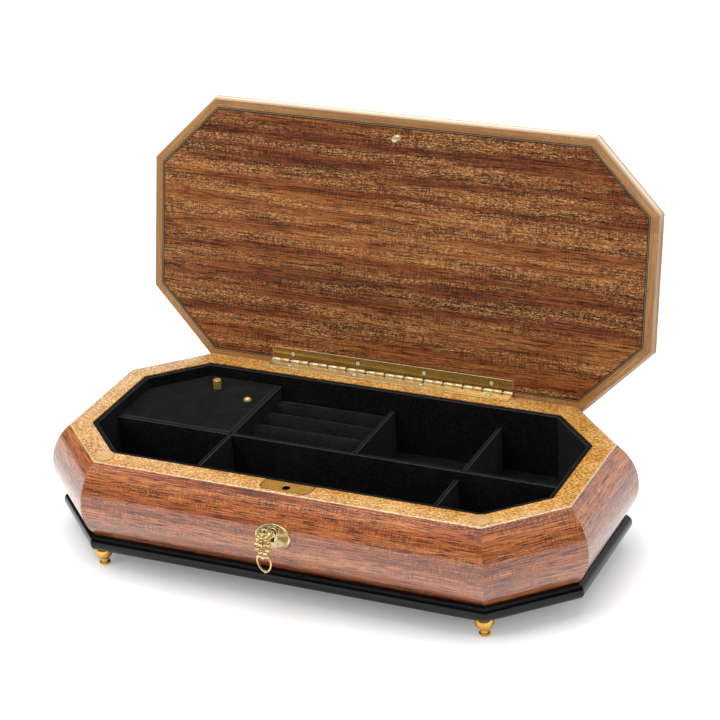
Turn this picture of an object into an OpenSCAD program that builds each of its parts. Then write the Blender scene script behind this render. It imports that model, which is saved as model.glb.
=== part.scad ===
// Musical jewellery box: an eight-sided veneered case with a hinged lid, a lined and divided
// inside, and a pinned-cylinder movement under a cover in the left rear bay.
// Millimetres, +Z up, X along the box, -Y to the front. The origin is the middle of the box
// on the surface that it stands on. It is drawn with the lid open against its stop.

/* [Case] */
// Length of the rim outline
rim_l = 320; // [290:1:360]
// Width of the rim outline
rim_w = 153.6; // [145:0.2:180]
// Length cut from each side of a corner of the rim outline
rim_corner = 38; // [32:0.5:44]
// Height of the rim above the floor
case_h = 68.75; // [65:0.25:80]
// How far the curved sides swell beyond the rim outline
bulge = 12.4; // [8:0.2:15]
// Depth below the rim at which the sides are widest
bulge_drop = 27; // [24:0.5:30]
// Radius of the sides below their widest place
side_low_r = 30; // [27:0.5:40]
// Thickness of the rim veneer
rim_t = 0.6; // [0.4:0.1:1.2]
// Width of the rim along the long sides
rim_long_w = 12.7; // [12.5:0.1:16]
// Width of the rim along the short sides
rim_end_w = 11.8; // [10:0.1:16]
// Length cut from each side of a corner of the opening
opening_corner = 31; // [26:0.5:36]

/* [Base] */
// Height of each foot
foot_h = 11.25; // [10:0.25:14]
// Radius of the bowl of a foot
foot_r = 5.6; // [5:0.1:6]
// Thickness of the plinth
plinth_t = 10.25; // [10:0.25:12]
// How far the plinth stands beyond the rim outline
plinth_out = 8.5; // [6:0.25:10]
// Radius on the outer edges of the plinth
plinth_round = 4.6; // [2:0.1:4.9]
// Width of the plinth inside the opening
plinth_ledge = 8; // [6:0.5:12]
// Thickness of the bottom panel
bottom_t = 4; // [3:0.25:5]

/* [Lid] */
// Thickness of the lid
lid_t = 9; // [8:0.25:12]
// How far the lid stands beyond the rim outline
lid_over = 5.4; // [4:0.1:7]
// Gap between the rim and the closed lid
lid_gap = 1.6; // [1.4:0.05:2]
// Angle between the closed and the open lid
lid_open = 101.4; // [95:0.1:103]
// Width of the solid wood edging
edging_w = 5.3; // [4.6:0.1:8]
// Width of the inlaid string line
string_w = 1.5; // [1:0.1:2]
// Thickness of the lid veneers and the string line
veneer_t = 0.7; // [0.4:0.05:1]
// How far the edge of the lid swells beyond its faces
lid_swell = 2; // [1:0.1:2.5]

/* [Hinge] */
// Length of the hinge leaves
hinge_l = 161.8; // [120:0.2:200]
// Distance of the hinge axis behind the rim outline
hinge_back = 1.9; // [1.7:0.05:2.2]
// Radius of the hinge barrel
barrel_r = 1.5; // [1.3:0.05:1.6]
// Radius of the hinge pin
pin_r = 0.7; // [0.5:0.05:0.8]
// Thickness of a hinge leaf
leaf_t = 0.75; // [0.5:0.05:0.78]
// Width of a hinge leaf from the hinge axis
leaf_w = 8.5; // [8:0.1:10]
// Length of one knuckle
knuckle_l = 5.8; // [4:0.1:8]
// Gap between one pair of knuckles and the next
pair_gap = 1.25; // [0.4:0.05:2]

/* [Inside] */
// Thickness of the flocked wall lining
lining_t = 3; // [1.5:0.1:4]
// Depth of the lining's top edge below the rim
lining_drop = 0.5; // [0.3:0.1:2]
// Thickness of the floor pad
pad_t = 2; // [1:0.1:3]
// Thickness of a divider
divider_t = 2.8; // [2:0.1:4]
// Depth of the high dividers and the cover below the rim
high_drop = 7.5; // [6:0.25:10]
// Depth of the low dividers below the rim
low_drop = 13; // [10:0.25:16]
// Place across the box of the long divider
long_y = -7; // [-9:0.25:-6.5]
// Length of the music bay, from the left end of the opening to the middle of its divider
bay_l = 80.2; // [79.2:0.2:84]
// Length of the ring bay, between the middles of its dividers
ring_bay_l = 76.8; // [68:0.2:88]
// Length of the right bays, from the middle of their divider to the right end of the opening
right_bay_l = 69.2; // [58:0.2:78]
// Diameter of a ring roll
roll_d = 16.4; // [12:0.1:16.5]
// Depth of the tops of the ring rolls below the rim
roll_drop = 14; // [13:0.25:16]
// Number of ring rolls
roll_count = 4; // [3:1:4]
// Thickness of the movement cover
cover_t = 2.5; // [2:0.1:3]

/* [Lock] */
// Width of the lock plate
lock_w = 31.5; // [31:0.5:40]
// Depth of the key axis below the rim
key_drop = 19.5; // [18:0.25:21]
// Radius of the key shank
key_r = 1.6; // [1.2:0.05:1.8]
// Width of the escutcheon
escutcheon_w = 22.6; // [18:0.2:26]
// Height of the escutcheon
escutcheon_h = 14.8; // [12:0.2:16]
// Length of the hanging bow of the key
bow_l = 19.3; // [18.5:0.1:24]

/* [Movement] */
// Radius of the pinned cylinder without its pins
cyl_r = 6.5; // [6:0.1:7]
// Length of the pinned cylinder
cyl_l = 26; // [24:0.5:27]
// Number of teeth on the comb
note_count = 18; // [14:1:20]
// Height of the pins above the cylinder
pin_h = 0.8; // [0.5:0.05:1]
// Radius of the spring barrel
drum_r = 12.5; // [12:0.1:13]
// Radius of the start knob
knob_r = 2.6; // [2.2:0.1:3]
// Height of the start knob above the cover
knob_h = 5.8; // [5:0.1:7]
// Travel of the start knob
knob_travel = 2.5; // [1.5:0.25:3]

/* [Hidden] */
$fn = 64;

// Running clearance in radius, and the gap between pieces that pass each other
run = 0.05;
gap = 0.3;
fit = 0.02;
eps = 0.01;
// Half the glue line of a mitre
glue_line = 0.01;
far = 400;

// An octagon whose outline is moved out by d loses this share of d more at each corner
corner_share = 2 - sqrt(2);

opening_l = rim_l - 2 * rim_end_w;
opening_w = rim_w - 2 * rim_long_w;
plinth_z = foot_h;
wall_z = foot_h + plinth_t;
panel_z = wall_z + bottom_t;
floor_z = panel_z + pad_t;
high_z = case_h - high_drop;
low_z = case_h - low_drop;
bay_x = -opening_l / 2 + bay_l;
ring_x = bay_x + ring_bay_l;
right_x = opening_l / 2 - right_bay_l;

// Circle that gives the sides their curve above the widest place: it passes through the rim edge
side_r = (bulge * bulge + bulge_drop * bulge_drop) / (2 * bulge);
side_z = case_h - bulge_drop;
function side_out(z) = bulge - side_r + sqrt(side_r * side_r - (z - side_z) * (z - side_z));

hinge_y = rim_w / 2 + hinge_back;
hinge_z = case_h + lid_gap / 2;
lid_z = case_h + lid_gap;
lid_l = rim_l + 2 * lid_over;
lid_w = rim_w + 2 * lid_over;
lid_corner = rim_corner + corner_share * lid_over;

inner_l = opening_l - 2 * lining_t;
inner_w = opening_w - 2 * lining_t;
inner_corner = opening_corner - corner_share * lining_t;
// The line of the pinned cylinder keeps its distance from the back lining
movement_back = 42.1;
cyl_y = inner_w / 2 - movement_back;

// Outline of an octagon by length, width and corner cut, from the front left corner round
function oct(l, w, c) = [
    [-l / 2 + c, -w / 2], [l / 2 - c, -w / 2], [l / 2, -w / 2 + c], [l / 2, w / 2 - c],
    [l / 2 - c, w / 2], [-l / 2 + c, w / 2], [-l / 2, w / 2 - c], [-l / 2, -w / 2 + c]];
function oct_out(l, w, c, d) = oct(l + 2 * d, w + 2 * d, c + corner_share * d);

module oct_prism(l, w, c, z0, z1) {
    translate([0, 0, z0]) linear_extrude(z1 - z0) polygon(oct(l, w, c));
}

// The eight sides of an octagon: 0 front, 1 front right, 2 right, and so on anticlockwise
function side_turn(i) = -90 + 45 * i;
function side_dist(i, l, w, c) = i % 2 == 1 ? (l / 2 + w / 2 - c) / sqrt(2)
    : (i % 4 == 0 ? w / 2 : l / 2);

// One mitred length of a moulding: children(0) is its section, +X outwards and +Y up
module mitred(i, l, w, c, reach_in, reach_out) {
    a = oct_out(l, w, c, reach_out);
    b = oct_out(l, w, c, -reach_in);
    j = (i + 1) % 8;
    glue = glue_line * (a[j] - a[i]) / norm(a[j] - a[i]);
    intersection() {
        translate([0, 0, -far / 2]) linear_extrude(far)
            polygon([a[i] + glue, a[j] - glue, b[j] - glue, b[i] + glue]);
        rotate([0, 0, side_turn(i)]) translate([side_dist(i, l, w, c), 0, 0])
            rotate([90, 0, 0]) linear_extrude(far, center = true) children();
    }
}

module ring(r1, r0, h) {
    difference() {
        cylinder(r = r1, h = h);
        translate([0, 0, -1]) cylinder(r = r0, h = h + 2);
    }
}

// A drawn-closed lid piece goes to the open position
module lid_pose() {
    translate([0, hinge_y, hinge_z]) rotate([-lid_open, 0, 0])
        translate([0, -hinge_y, -hinge_z]) children();
}

// ---------------------------------------------------------------- case

// The curve of the sides, moved out by d
module side_round(d) {
    for (up = [0, 1]) intersection() {
        r = up == 1 ? side_r : side_low_r;
        translate([bulge - r, side_z]) circle(r = r + d, $fn = 180);
        translate([-far, up == 1 ? side_z : side_z - far]) square([2 * far, far]);
    }
}
module side_section(z0, z1, depth) {
    intersection() {
        side_round(0);
        translate([-depth, z0]) square([depth + bulge + 1, z1 - z0]);
    }
}

// Step behind the rim that the back edge of the open lid drops into
lid_edge_drop = lid_w / 2 - hinge_y;
rebate_y = hinge_y - 0.3;
rebate_z = hinge_z - lid_edge_drop - lid_swell - 1.3;
module lid_rebate() {
    half = rim_l / 2 - rim_corner + lid_over + lid_swell;
    translate([-half, rebate_y, rebate_z]) cube([2 * half, far, far]);
}

screw_x = [for (k = [-3, -1, 1, 3]) k * 0.1375 * hinge_l];
screw_y = hinge_y - barrel_r - (leaf_w - barrel_r) / 2;
screw_r = 0.8;
screw_head_r = 1.8;
screw_head_t = 0.45;
screw_len = 7;

module hinge_screw() {
    translate([0, 0, -screw_head_t]) cylinder(r = screw_head_r, h = screw_head_t);
    translate([0, 0, -screw_len]) cylinder(r = screw_r, h = screw_len);
}
module hinge_screw_bores() {
    for (x = screw_x)
        translate([x, screw_y, case_h - screw_len]) cylinder(r = screw_r + fit, h = screw_len + 1);
}

module opening_cut() {
    oct_prism(opening_l, opening_w, opening_corner, -1, far);
}

wall_reach = 30;
module wall_blank(i) {
    difference() {
        mitred(i, rim_l, rim_w, rim_corner, wall_reach, bulge + 2)
            side_section(wall_z, case_h - rim_t, wall_reach);
        opening_cut();
    }
}

lock_y = -rim_w / 2 + 6.3;
key_x = -1.2;
bit_h = 5;
lock_case_l = 30;
lock_case_w = 7.4;
lock_case_h = key_drop + bit_h + 1.5;
key_z = case_h - key_drop;
keyhole_r = key_r + 0.5;
lock_bolt_z = case_h - 2.4;

module lock_mortise() {
    translate([-lock_case_l / 2 - fit, lock_y - lock_case_w / 2 - fit, case_h - lock_case_h - fit])
        cube([lock_case_l + 2 * fit, lock_case_w + 2 * fit, lock_case_h + 1]);
}
module keyhole_cut() {
    translate([key_x, lock_y, key_z]) {
        rotate([90, 0, 0]) cylinder(r = keyhole_r, h = rim_w / 2);
        translate([-1.1, -rim_w / 2, -bit_h - 0.5]) cube([2.2, rim_w / 2, bit_h + 0.5]);
    }
}

module wall_front() {
    color("sienna") difference() {
        wall_blank(0);
        lock_mortise();
        translate([0, 0, case_h - lock_plate_t - fit]) linear_extrude(far) lock_outline(fit);
        keyhole_cut();
        escutcheon_pin_set(fit);
    }
}
module wall_back() {
    color("sienna") difference() {
        wall_blank(4);
        lid_rebate();
        hinge_screw_bores();
    }
}
module wall_left() {
    color("sienna") wall_blank(6);
}
module wall_right() {
    color("sienna") wall_blank(2);
}
module wall_front_left() {
    color("peru") wall_blank(7);
}
module wall_front_right() {
    color("peru") wall_blank(1);
}
module wall_back_left() {
    color("peru") difference() {
        wall_blank(5);
        lid_rebate();
    }
}
module wall_back_right() {
    color("peru") difference() {
        wall_blank(3);
        lid_rebate();
    }
}

module rim() {
    color("goldenrod") difference() {
        for (i = [0:7])
            difference() {
                mitred(i, rim_l, rim_w, rim_corner, wall_reach, bulge + 2)
                    side_section(case_h - rim_t, case_h, wall_reach);
                opening_cut();
            }
        lid_rebate();
        hinge_screw_bores();
        lock_mortise();
        linear_extrude(far) lock_outline(fit);
    }
}

// ---------------------------------------------------------------- base

module plinth_section() {
    wide = plinth_out + rim_long_w + plinth_ledge;
    difference() {
        translate([-wide, plinth_z]) square([wide, plinth_t]);
        for (up = [0, 1])
            translate([-plinth_round, up == 1 ? wall_z - plinth_round : plinth_z + plinth_round])
                difference() {
                    translate([0, up == 1 ? 0 : -plinth_round - 1]) square(plinth_round + 1);
                    circle(r = plinth_round, $fn = 48);
                }
    }
}
module plinth() {
    color("black") for (i = [0:7])
        difference() {
            mitred(i, rim_l + 2 * plinth_out, rim_w + 2 * plinth_out,
                rim_corner + corner_share * plinth_out, wall_reach + 10, 1)
                plinth_section();
            foot_bores();
        }
}

module bottom_panel() {
    color("tan") difference() {
        oct_prism(opening_l - 2 * fit, opening_w - 2 * fit, opening_corner, wall_z, panel_z);
        translate([drum_x, cyl_y, wall_z - 1]) cylinder(r = arbor_r + 1, h = bottom_t + 2);
        for (p = bed_screws) translate([p[0], p[1], wall_z - 1])
            cylinder(r = bed_screw_r + 0.2, h = bottom_t + 2);
    }
}

foot_in = 7;
foot_x = rim_l / 2 - rim_corner;
foot_inset = 2.4;
foot_y = rim_w / 2 + plinth_out - foot_r - foot_inset;
foot_ring_r = 0.61 * foot_r;
foot_screw_r = 1;
foot_head_r = 1.6;
module foot_bores() {
    for (sx = [-1, 1]) for (sy = [-1, 1]) translate([sx * foot_x, sy * foot_y, plinth_z - 1])
        cylinder(r = foot_screw_r + fit, h = foot_in + 1);
}

// Turned brass foot: a bowl, a groove and a ring foot
module foot() {
    ring_h = 0.2 * foot_h;
    groove_h = 0.1 * foot_h;
    bowl_h = foot_h - ring_h - groove_h;
    difference() {
        union() {
            rotate_extrude() {
                square([foot_ring_r - ring_h / 2, ring_h]);
                translate([foot_ring_r - ring_h / 2, ring_h / 2]) circle(r = ring_h / 2, $fn = 32);
            }
            cylinder(r = foot_ring_r - ring_h / 2 + 0.4, h = foot_h);
            translate([0, 0, ring_h + groove_h]) intersection() {
                translate([0, 0, bowl_h - 0.4 * foot_r]) sphere(r = foot_r, $fn = 64);
                cylinder(r = foot_r + 1, h = bowl_h);
            }
        }
        translate([0, 0, -1]) cylinder(r = foot_screw_r + fit, h = foot_h + 2);
        translate([0, 0, -1]) cylinder(r = foot_head_r + fit, h = 2.2);
    }
}
module feet() {
    color("gold") for (sx = [-1, 1]) for (sy = [-1, 1]) translate([sx * foot_x, sy * foot_y, 0])
        foot();
}
module foot_screws() {
    color("silver") for (sx = [-1, 1]) for (sy = [-1, 1]) translate([sx * foot_x, sy * foot_y, 0]) {
        translate([0, 0, 0.4]) cylinder(r = foot_head_r, h = 0.8);
        translate([0, 0, 0.4]) cylinder(r = foot_screw_r, h = foot_h + foot_in - 1);
    }
}

// ---------------------------------------------------------------- inside

module wall_lining() {
    color("dimgray") difference() {
        oct_prism(opening_l - 2 * fit, opening_w - 2 * fit, opening_corner, panel_z, case_h - lining_drop);
        oct_prism(inner_l, inner_w, inner_corner, 0, far);
    }
}
module bay_prism(z0, z1, d) {
    intersection() {
        oct_prism(inner_l - 2 * d, inner_w - 2 * d, inner_corner - corner_share * d, z0, z1);
        translate([-far + bay_x - divider_t / 2 - d, long_y + divider_t / 2 + d, z0])
            cube([far, far, z1 - z0]);
    }
}
module floor_pad() {
    color("dimgray") difference() {
        oct_prism(inner_l - 2 * fit, inner_w - 2 * fit, inner_corner, panel_z, floor_z);
        bay_prism(0, far, 0);
    }
}

notch_gap = 0.1;
divider_end = 0.3;
module divider_long() {
    color("gray") difference() {
        translate([-inner_l / 2 + divider_end, long_y - divider_t / 2, floor_z])
            cube([inner_l - 2 * divider_end, divider_t, high_z - floor_z]);
        notch_up(bay_x, (high_z + floor_z) / 2);
        notch_up(right_x, (low_z + floor_z) / 2);
    }
}
// Slot from the bottom of the long divider up to z1
module notch_up(x, z1) {
    translate([x - divider_t / 2 - notch_gap / 2, long_y - divider_t, floor_z - 1])
        cube([divider_t + notch_gap, 2 * divider_t, z1 - floor_z + 1]);
}
// Full-depth divider at x, with a slot from its top for the long divider
module cross_divider(x, top) {
    difference() {
        translate([x - divider_t / 2, -inner_w / 2 + divider_end, floor_z])
            cube([divider_t, inner_w - 2 * divider_end, top - floor_z]);
        translate([x - divider_t, long_y - divider_t / 2 - notch_gap / 2, (top + floor_z) / 2])
            cube([2 * divider_t, divider_t + notch_gap, far]);
    }
}
module divider_bay() {
    color("gray") cross_divider(bay_x, high_z);
}
module divider_right() {
    color("gray") cross_divider(right_x, low_z);
}
module divider_ring() {
    back = inner_w / 2 - divider_end;
    front = long_y + divider_t / 2 + fit;
    color("gray") translate([ring_x - divider_t / 2, front, floor_z])
        cube([divider_t, back - front, low_z - floor_z]);
}

// Ring rolls lie side by side on a block that fills the bottom of the ring bay
roll_top = case_h - roll_drop;
ring_bay_front = long_y + divider_t / 2;
roll_pitch = (inner_w / 2 - ring_bay_front) / roll_count;
ring_base_z = roll_top - roll_d - 0.1;
roll_x0 = bay_x + divider_t / 2 + gap;
roll_x1 = ring_x - divider_t / 2 - gap;
module ring_roll(k) {
    translate([roll_x0, ring_bay_front + (k - 0.5) * roll_pitch, roll_top - roll_d / 2])
        rotate([0, 90, 0]) cylinder(r = roll_d / 2, h = roll_x1 - roll_x0);
}
module ring_base() {
    color("burlywood") translate([roll_x0, ring_bay_front + fit, floor_z])
        cube([roll_x1 - roll_x0, inner_w / 2 - ring_bay_front - 2 * fit, ring_base_z - floor_z]);
}
module ring_roll_1() {
    color("dimgray") ring_roll(1);
}
module ring_roll_2() {
    color("dimgray") ring_roll(2);
}
module ring_roll_3() {
    color("dimgray") ring_roll(3);
}
module ring_roll_4() {
    color("dimgray") if (roll_count > 3) ring_roll(4);
}

knob_in = 36;
knob_x = bay_x - knob_in;
knob_y = cyl_y + 27;
knob_rod_r = 1.5;
cover_screw_x = bay_x - 10.2;
cover_screw_y = cyl_y + 17;
cover_screw_r = 1;
module movement_cover() {
    color("dimgray") difference() {
        bay_prism(high_z - cover_t, high_z, gap);
        translate([knob_x, knob_y, 0]) cylinder(r = knob_r + run, h = far);
        translate([cover_screw_x, cover_screw_y, 0]) cylinder(r = cover_screw_r + 0.1, h = far);
    }
}
post_r = 3;
post_places = [[cover_screw_x, cover_screw_y],
    [-inner_l / 2 + post_r + gap, long_y + divider_t / 2 + post_r + gap],
    [-inner_l / 2 + inner_corner + 3, inner_w / 2 - post_r - gap]];
module cover_posts() {
    color("burlywood") for (p = post_places) translate([p[0], p[1], panel_z]) difference() {
        cylinder(r = post_r, h = high_z - cover_t - panel_z);
        translate([0, 0, high_z - cover_t - panel_z - 8]) cylinder(r = cover_screw_r + fit, h = 9);
    }
}
dome_r = 2.6;
module cover_screw() {
    color("gold") translate([cover_screw_x, cover_screw_y, high_z]) {
        intersection() {
            translate([0, 0, -1]) sphere(r = sqrt(dome_r * dome_r + 1), $fn = 64);
            cylinder(r = dome_r + 1, h = dome_r);
        }
        translate([0, 0, -cover_t - 7]) cylinder(r = cover_screw_r, h = cover_t + 7.2);
    }
}

bumper_r = 6;
bumper_t = lid_gap - 0.1;
bumper_crown = 20;
bumper_x = rim_l / 2 - rim_corner - 2.8;
bumper_y = rim_w / 2 - 7.4;
module bumpers() {
    color("tan") for (s = [-1, 1]) translate([s * bumper_x, -bumper_y, case_h])
        intersection() {
            cylinder(r = bumper_r, h = bumper_t);
            translate([0, 0, bumper_t - bumper_crown]) sphere(r = bumper_crown, $fn = 96);
        }
}

// ---------------------------------------------------------------- hinge

seam = 0.15;
pair_l = 2 * knuckle_l + seam + pair_gap;
pair_count = floor((hinge_l - knuckle_l) / pair_l + 0.001);
hinge_x0 = -(pair_count * pair_l + knuckle_l) / 2;
// Left end of knuckle k: even knuckles belong to the case, odd ones to the lid
function knuckle_x(k) = hinge_x0 + floor(k / 2) * pair_l + (k % 2) * (knuckle_l + seam);
knuckle_last = 2 * pair_count;

module knuckles(odd, bore) {
    for (k = [odd : 2 : knuckle_last])
        translate([knuckle_x(k), hinge_y, hinge_z]) difference() {
            union() {
                rotate([0, 90, 0]) cylinder(r = barrel_r, h = knuckle_l, $fn = 48);
                translate([0, -barrel_r - 0.5, -lid_gap / 2]) cube([knuckle_l, barrel_r + 0.5, leaf_t]);
            }
            translate([-1, 0, 0]) rotate([0, 90, 0]) cylinder(r = bore, h = knuckle_l + 2, $fn = 32);
        }
}
module leaf_plate() {
    x1 = -hinge_x0;
    front = leaf_w;
    back = barrel_r + gap;
    difference() {
        translate([-x1, hinge_y - front, case_h]) linear_extrude(leaf_t) difference() {
            square([2 * x1, front - back]);
            for (s = [0, 1]) translate([s * 2 * x1, 0]) mirror([s, 0]) difference() {
                translate([-1, -1]) square(2.5);
                translate([1.5, 1.5]) circle(r = 1.5, $fn = 32);
            }
        }
        for (x = screw_x) translate([x, screw_y, case_h]) {
            translate([0, 0, -1]) cylinder(r = screw_r + fit, h = 5);
            translate([0, 0, leaf_t - screw_head_t]) cylinder(r = screw_head_r + fit, h = 5);
        }
    }
}
module hinge_body_leaf() {
    color("gold") union() {
        leaf_plate();
        knuckles(0, pin_r + fit);
    }
}
module over_axis() {
    translate([0, 0, 2 * hinge_z]) mirror([0, 0, 1]) children();
}
module hinge_lid_leaf() {
    color("gold") lid_pose() over_axis() union() {
        leaf_plate();
        knuckles(1, pin_r + run);
    }
}
module hinge_pin() {
    color("silver") translate([hinge_x0 - 0.4, hinge_y, hinge_z]) rotate([0, 90, 0])
        cylinder(r = pin_r, h = -2 * hinge_x0 + 0.8, $fn = 32);
}
module hinge_body_screws() {
    color("gold") for (x = screw_x) translate([x, screw_y, case_h + leaf_t]) hinge_screw();
}
module hinge_lid_screws() {
    color("gold") lid_pose() over_axis() for (x = screw_x)
        translate([x, screw_y, case_h + leaf_t]) hinge_screw();
}

// ---------------------------------------------------------------- lid

module edging_section() {
    swell_r = (lid_t * lid_t / 4 + lid_swell * lid_swell) / (2 * lid_swell);
    translate([-edging_w, lid_z]) square([edging_w, lid_t]);
    intersection() {
        translate([lid_swell - swell_r, lid_z + lid_t / 2]) circle(r = swell_r, $fn = 96);
        translate([-eps, lid_z]) square([lid_swell + 1, lid_t]);
    }
}
module string_cut(grow) {
    for (z = [lid_z, lid_z + lid_t - veneer_t]) difference() {
        oct_prism(lid_l - 2 * edging_w + string_w + 2 * grow, lid_w - 2 * edging_w + string_w + 2 * grow,
            lid_corner - corner_share * (edging_w - string_w / 2 - grow), z - grow, z + veneer_t + grow);
        oct_prism(lid_l - 2 * edging_w - string_w - 2 * grow, lid_w - 2 * edging_w - string_w - 2 * grow,
            lid_corner - corner_share * (edging_w + string_w / 2 + grow), z - 1, z + veneer_t + 1);
    }
}
module lid_hinge_cuts() {
    translate([hinge_x0 - gap, hinge_y, hinge_z]) rotate([0, 90, 0])
        cylinder(r = barrel_r + gap, h = -2 * hinge_x0 + 2 * gap, $fn = 48);
    for (x = screw_x) translate([x, screw_y, lid_z - 1]) cylinder(r = screw_r + fit, h = screw_len + 1.5);
}
strike_r = 2.05;
strike_in = 5;
strike_out = 6.5;
strike_y = lock_y;
module strike_bore() {
    translate([0, strike_y, lid_z - 1]) cylinder(r = strike_r + fit, h = strike_in + 1);
}
module lid_board() {
    color("burlywood") lid_pose() difference() {
        oct_prism(lid_l - 2 * edging_w, lid_w - 2 * edging_w, lid_corner - corner_share * edging_w,
            lid_z + veneer_t, lid_z + lid_t - veneer_t);
        lid_hinge_cuts();
        strike_bore();
    }
}
module lid_edging() {
    color("wheat") lid_pose() difference() {
        for (i = [0:7]) mitred(i, lid_l, lid_w, lid_corner, edging_w + 1, lid_swell + 1) edging_section();
        string_cut(0);
        lid_hinge_cuts();
    }
}
module lid_string() {
    color("black") lid_pose() difference() {
        string_cut(0);
        lid_hinge_cuts();
    }
}
module lid_veneer(z) {
    d = edging_w + string_w / 2;
    oct_prism(lid_l - 2 * d, lid_w - 2 * d, lid_corner - corner_share * d, z, z + veneer_t);
}
module lid_inner_veneer() {
    color("sienna") lid_pose() difference() {
        lid_veneer(lid_z);
        lid_hinge_cuts();
        strike_bore();
    }
}
module lid_top_veneer() {
    color("sienna") lid_pose() lid_veneer(lid_z + lid_t - veneer_t);
}

// ---------------------------------------------------------------- lock and key

lock_plate_t = 0.8;
lock_hole_r = strike_r + 0.4;
lock_back = -opening_w / 2 - 0.4;
lock_front = -rim_w / 2 + 2.2;
module lock_outline(d) {
    big = 26;
    intersection() {
        translate([-lock_w / 2 - d, lock_front - d]) square([lock_w + 2 * d, lock_back - lock_front + 2 * d]);
        translate([0, lock_front + big]) circle(r = big + d, $fn = 180);
        translate([0, lock_front - d]) union() {
            translate([-lock_w / 2 + 4 - d, 0]) square([lock_w - 8 + 2 * d, far]);
            translate([-lock_w / 2 - d, 4]) square([lock_w + 2 * d, far]);
            for (m = [-1, 1]) translate([m * (lock_w / 2 - 4), 4]) circle(r = 4 + d, $fn = 48);
        }
    }
}
module lock_plate() {
    color("gold") difference() {
        translate([0, 0, case_h - lock_plate_t]) linear_extrude(lock_plate_t) lock_outline(0);
        translate([0, lock_y, 0]) cylinder(r = lock_hole_r, h = far);
    }
}
lock_wall = 0.8;
module lock_case() {
    top = case_h - lock_plate_t;
    color("gold") difference() {
        translate([-lock_case_l / 2, lock_y - lock_case_w / 2, case_h - lock_case_h])
            cube([lock_case_l, lock_case_w, top - case_h + lock_case_h]);
        translate([-lock_case_l / 2 + lock_wall, lock_y - lock_case_w / 2 + lock_wall,
            case_h - lock_case_h + lock_wall])
            cube([lock_case_l - 2 * lock_wall, lock_case_w - 2 * lock_wall,
                top - case_h + lock_case_h - lock_wall + eps]);
        keyhole_cut();
    }
}
bolt_throw = 3.5;
bolt_t = 1.6;
neck_r = strike_r - 0.7;
module lock_bolt() {
    wide = lock_case_w - 2 * lock_wall - 2 * gap;
    color("silver") difference() {
        union() {
            translate([-9.5, lock_y - wide / 2, lock_bolt_z - bolt_t / 2]) cube([19, wide, bolt_t]);
            translate([key_x + 2.8, lock_y - 1.2, key_z - 3]) cube([2.2, 2.4, lock_bolt_z - key_z + 3]);
        }
        translate([0, lock_y, lock_bolt_z - 4]) {
            cylinder(r = strike_r + 0.5, h = 8);
            translate([-bolt_throw, 0, 0]) cylinder(r = neck_r + gap, h = 8);
            translate([-bolt_throw, -neck_r - gap, 0]) cube([bolt_throw, 2 * (neck_r + gap), 8]);
        }
    }
}
module lock_strike() {
    color("gold") lid_pose() translate([0, strike_y, lid_z]) difference() {
        translate([0, 0, -strike_out]) cylinder(r = strike_r, h = strike_out + strike_in);
        translate([0, 0, lock_bolt_z - lid_z - 1.1]) ring(strike_r + 1, neck_r, 2.2);
    }
}

escutcheon_t = 0.8;
// The middle of the escutcheon is below the key
escutcheon_drop = 2.5;
escutcheon_z = key_z - escutcheon_drop;
face_y = -rim_w / 2 - side_out(key_z);
face_tilt = asin((escutcheon_z - side_z) / side_r);
// Frame on the front of the case: X along it, Y up its curve, Z out of it
module on_front() {
    translate([key_x, -rim_w / 2 - side_out(escutcheon_z), escutcheon_z])
        rotate([90 - face_tilt, 0, 0]) children();
}
module escutcheon() {
    color("gold") difference() {
        intersection() {
            on_front() translate([0, 0, -3]) linear_extrude(8) escutcheon_oval();
            rotate([0, 0, -90]) translate([rim_w / 2, 0, 0]) rotate([90, 0, 0])
                linear_extrude(far, center = true) difference() {
                    side_round(escutcheon_t);
                    side_round(0);
                }
        }
        keyhole_cut();
        escutcheon_pin_set(fit);
    }
}
// An oval made of two half rounds and a middle
module escutcheon_oval() {
    mid = escutcheon_w - escutcheon_h;
    square([mid, escutcheon_h], center = true);
    for (s = [-1, 1]) translate([s * mid / 2, 0]) circle(r = escutcheon_h / 2, $fn = 96);
}
module escutcheon_pin_set(d) {
    for (s = [-1, 1]) on_front() translate([s * (escutcheon_w / 2 - 2.2), 0, -6])
        cylinder(r = 0.5 + d, h = 12, $fn = 24);
}
module escutcheon_pins() {
    color("gold") for (s = [-1, 1]) on_front() translate([s * (escutcheon_w / 2 - 2.2), 0, 0]) {
        translate([0, 0, -5]) cylinder(r = 0.5, h = 5.6, $fn = 24);
        translate([0, 0, escutcheon_t]) cylinder(r = 0.8, h = 0.3, $fn = 24);
    }
}

// Key: shank along Y, with collars, a bit in the lock case and an eye for the bow
shank_out = 13.5;
eye_y = face_y - shank_out;
eye_r = 2.4;
bow_pin_r = 0.7;
module on_key() {
    translate([key_x, 0, key_z]) children();
}
module key_shank() {
    color("gold") on_key() difference() {
        union() {
            translate([0, lock_y + 1.6, 0]) rotate([90, 0, 0])
                cylinder(r = key_r, h = lock_y + 1.6 - eye_y - eye_r + 0.4);
            translate([0, face_y - escutcheon_t - 1, 0]) rotate([90, 0, 0]) cylinder(r = 2.4, h = 1);
            translate([0, face_y - escutcheon_t - 4, 0]) sphere(r = 2.2, $fn = 32);
            translate([0, eye_y, 0]) rotate([0, 90, 0]) cylinder(r = eye_r, h = 1.6, center = true);
            translate([-0.8, lock_y - 1.4, -bit_h]) cube([1.6, 2.8, bit_h]);
        }
        translate([0, eye_y, 0]) rotate([0, 90, 0]) cylinder(r = bow_pin_r + run, h = 10, center = true);
    }
}

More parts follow.
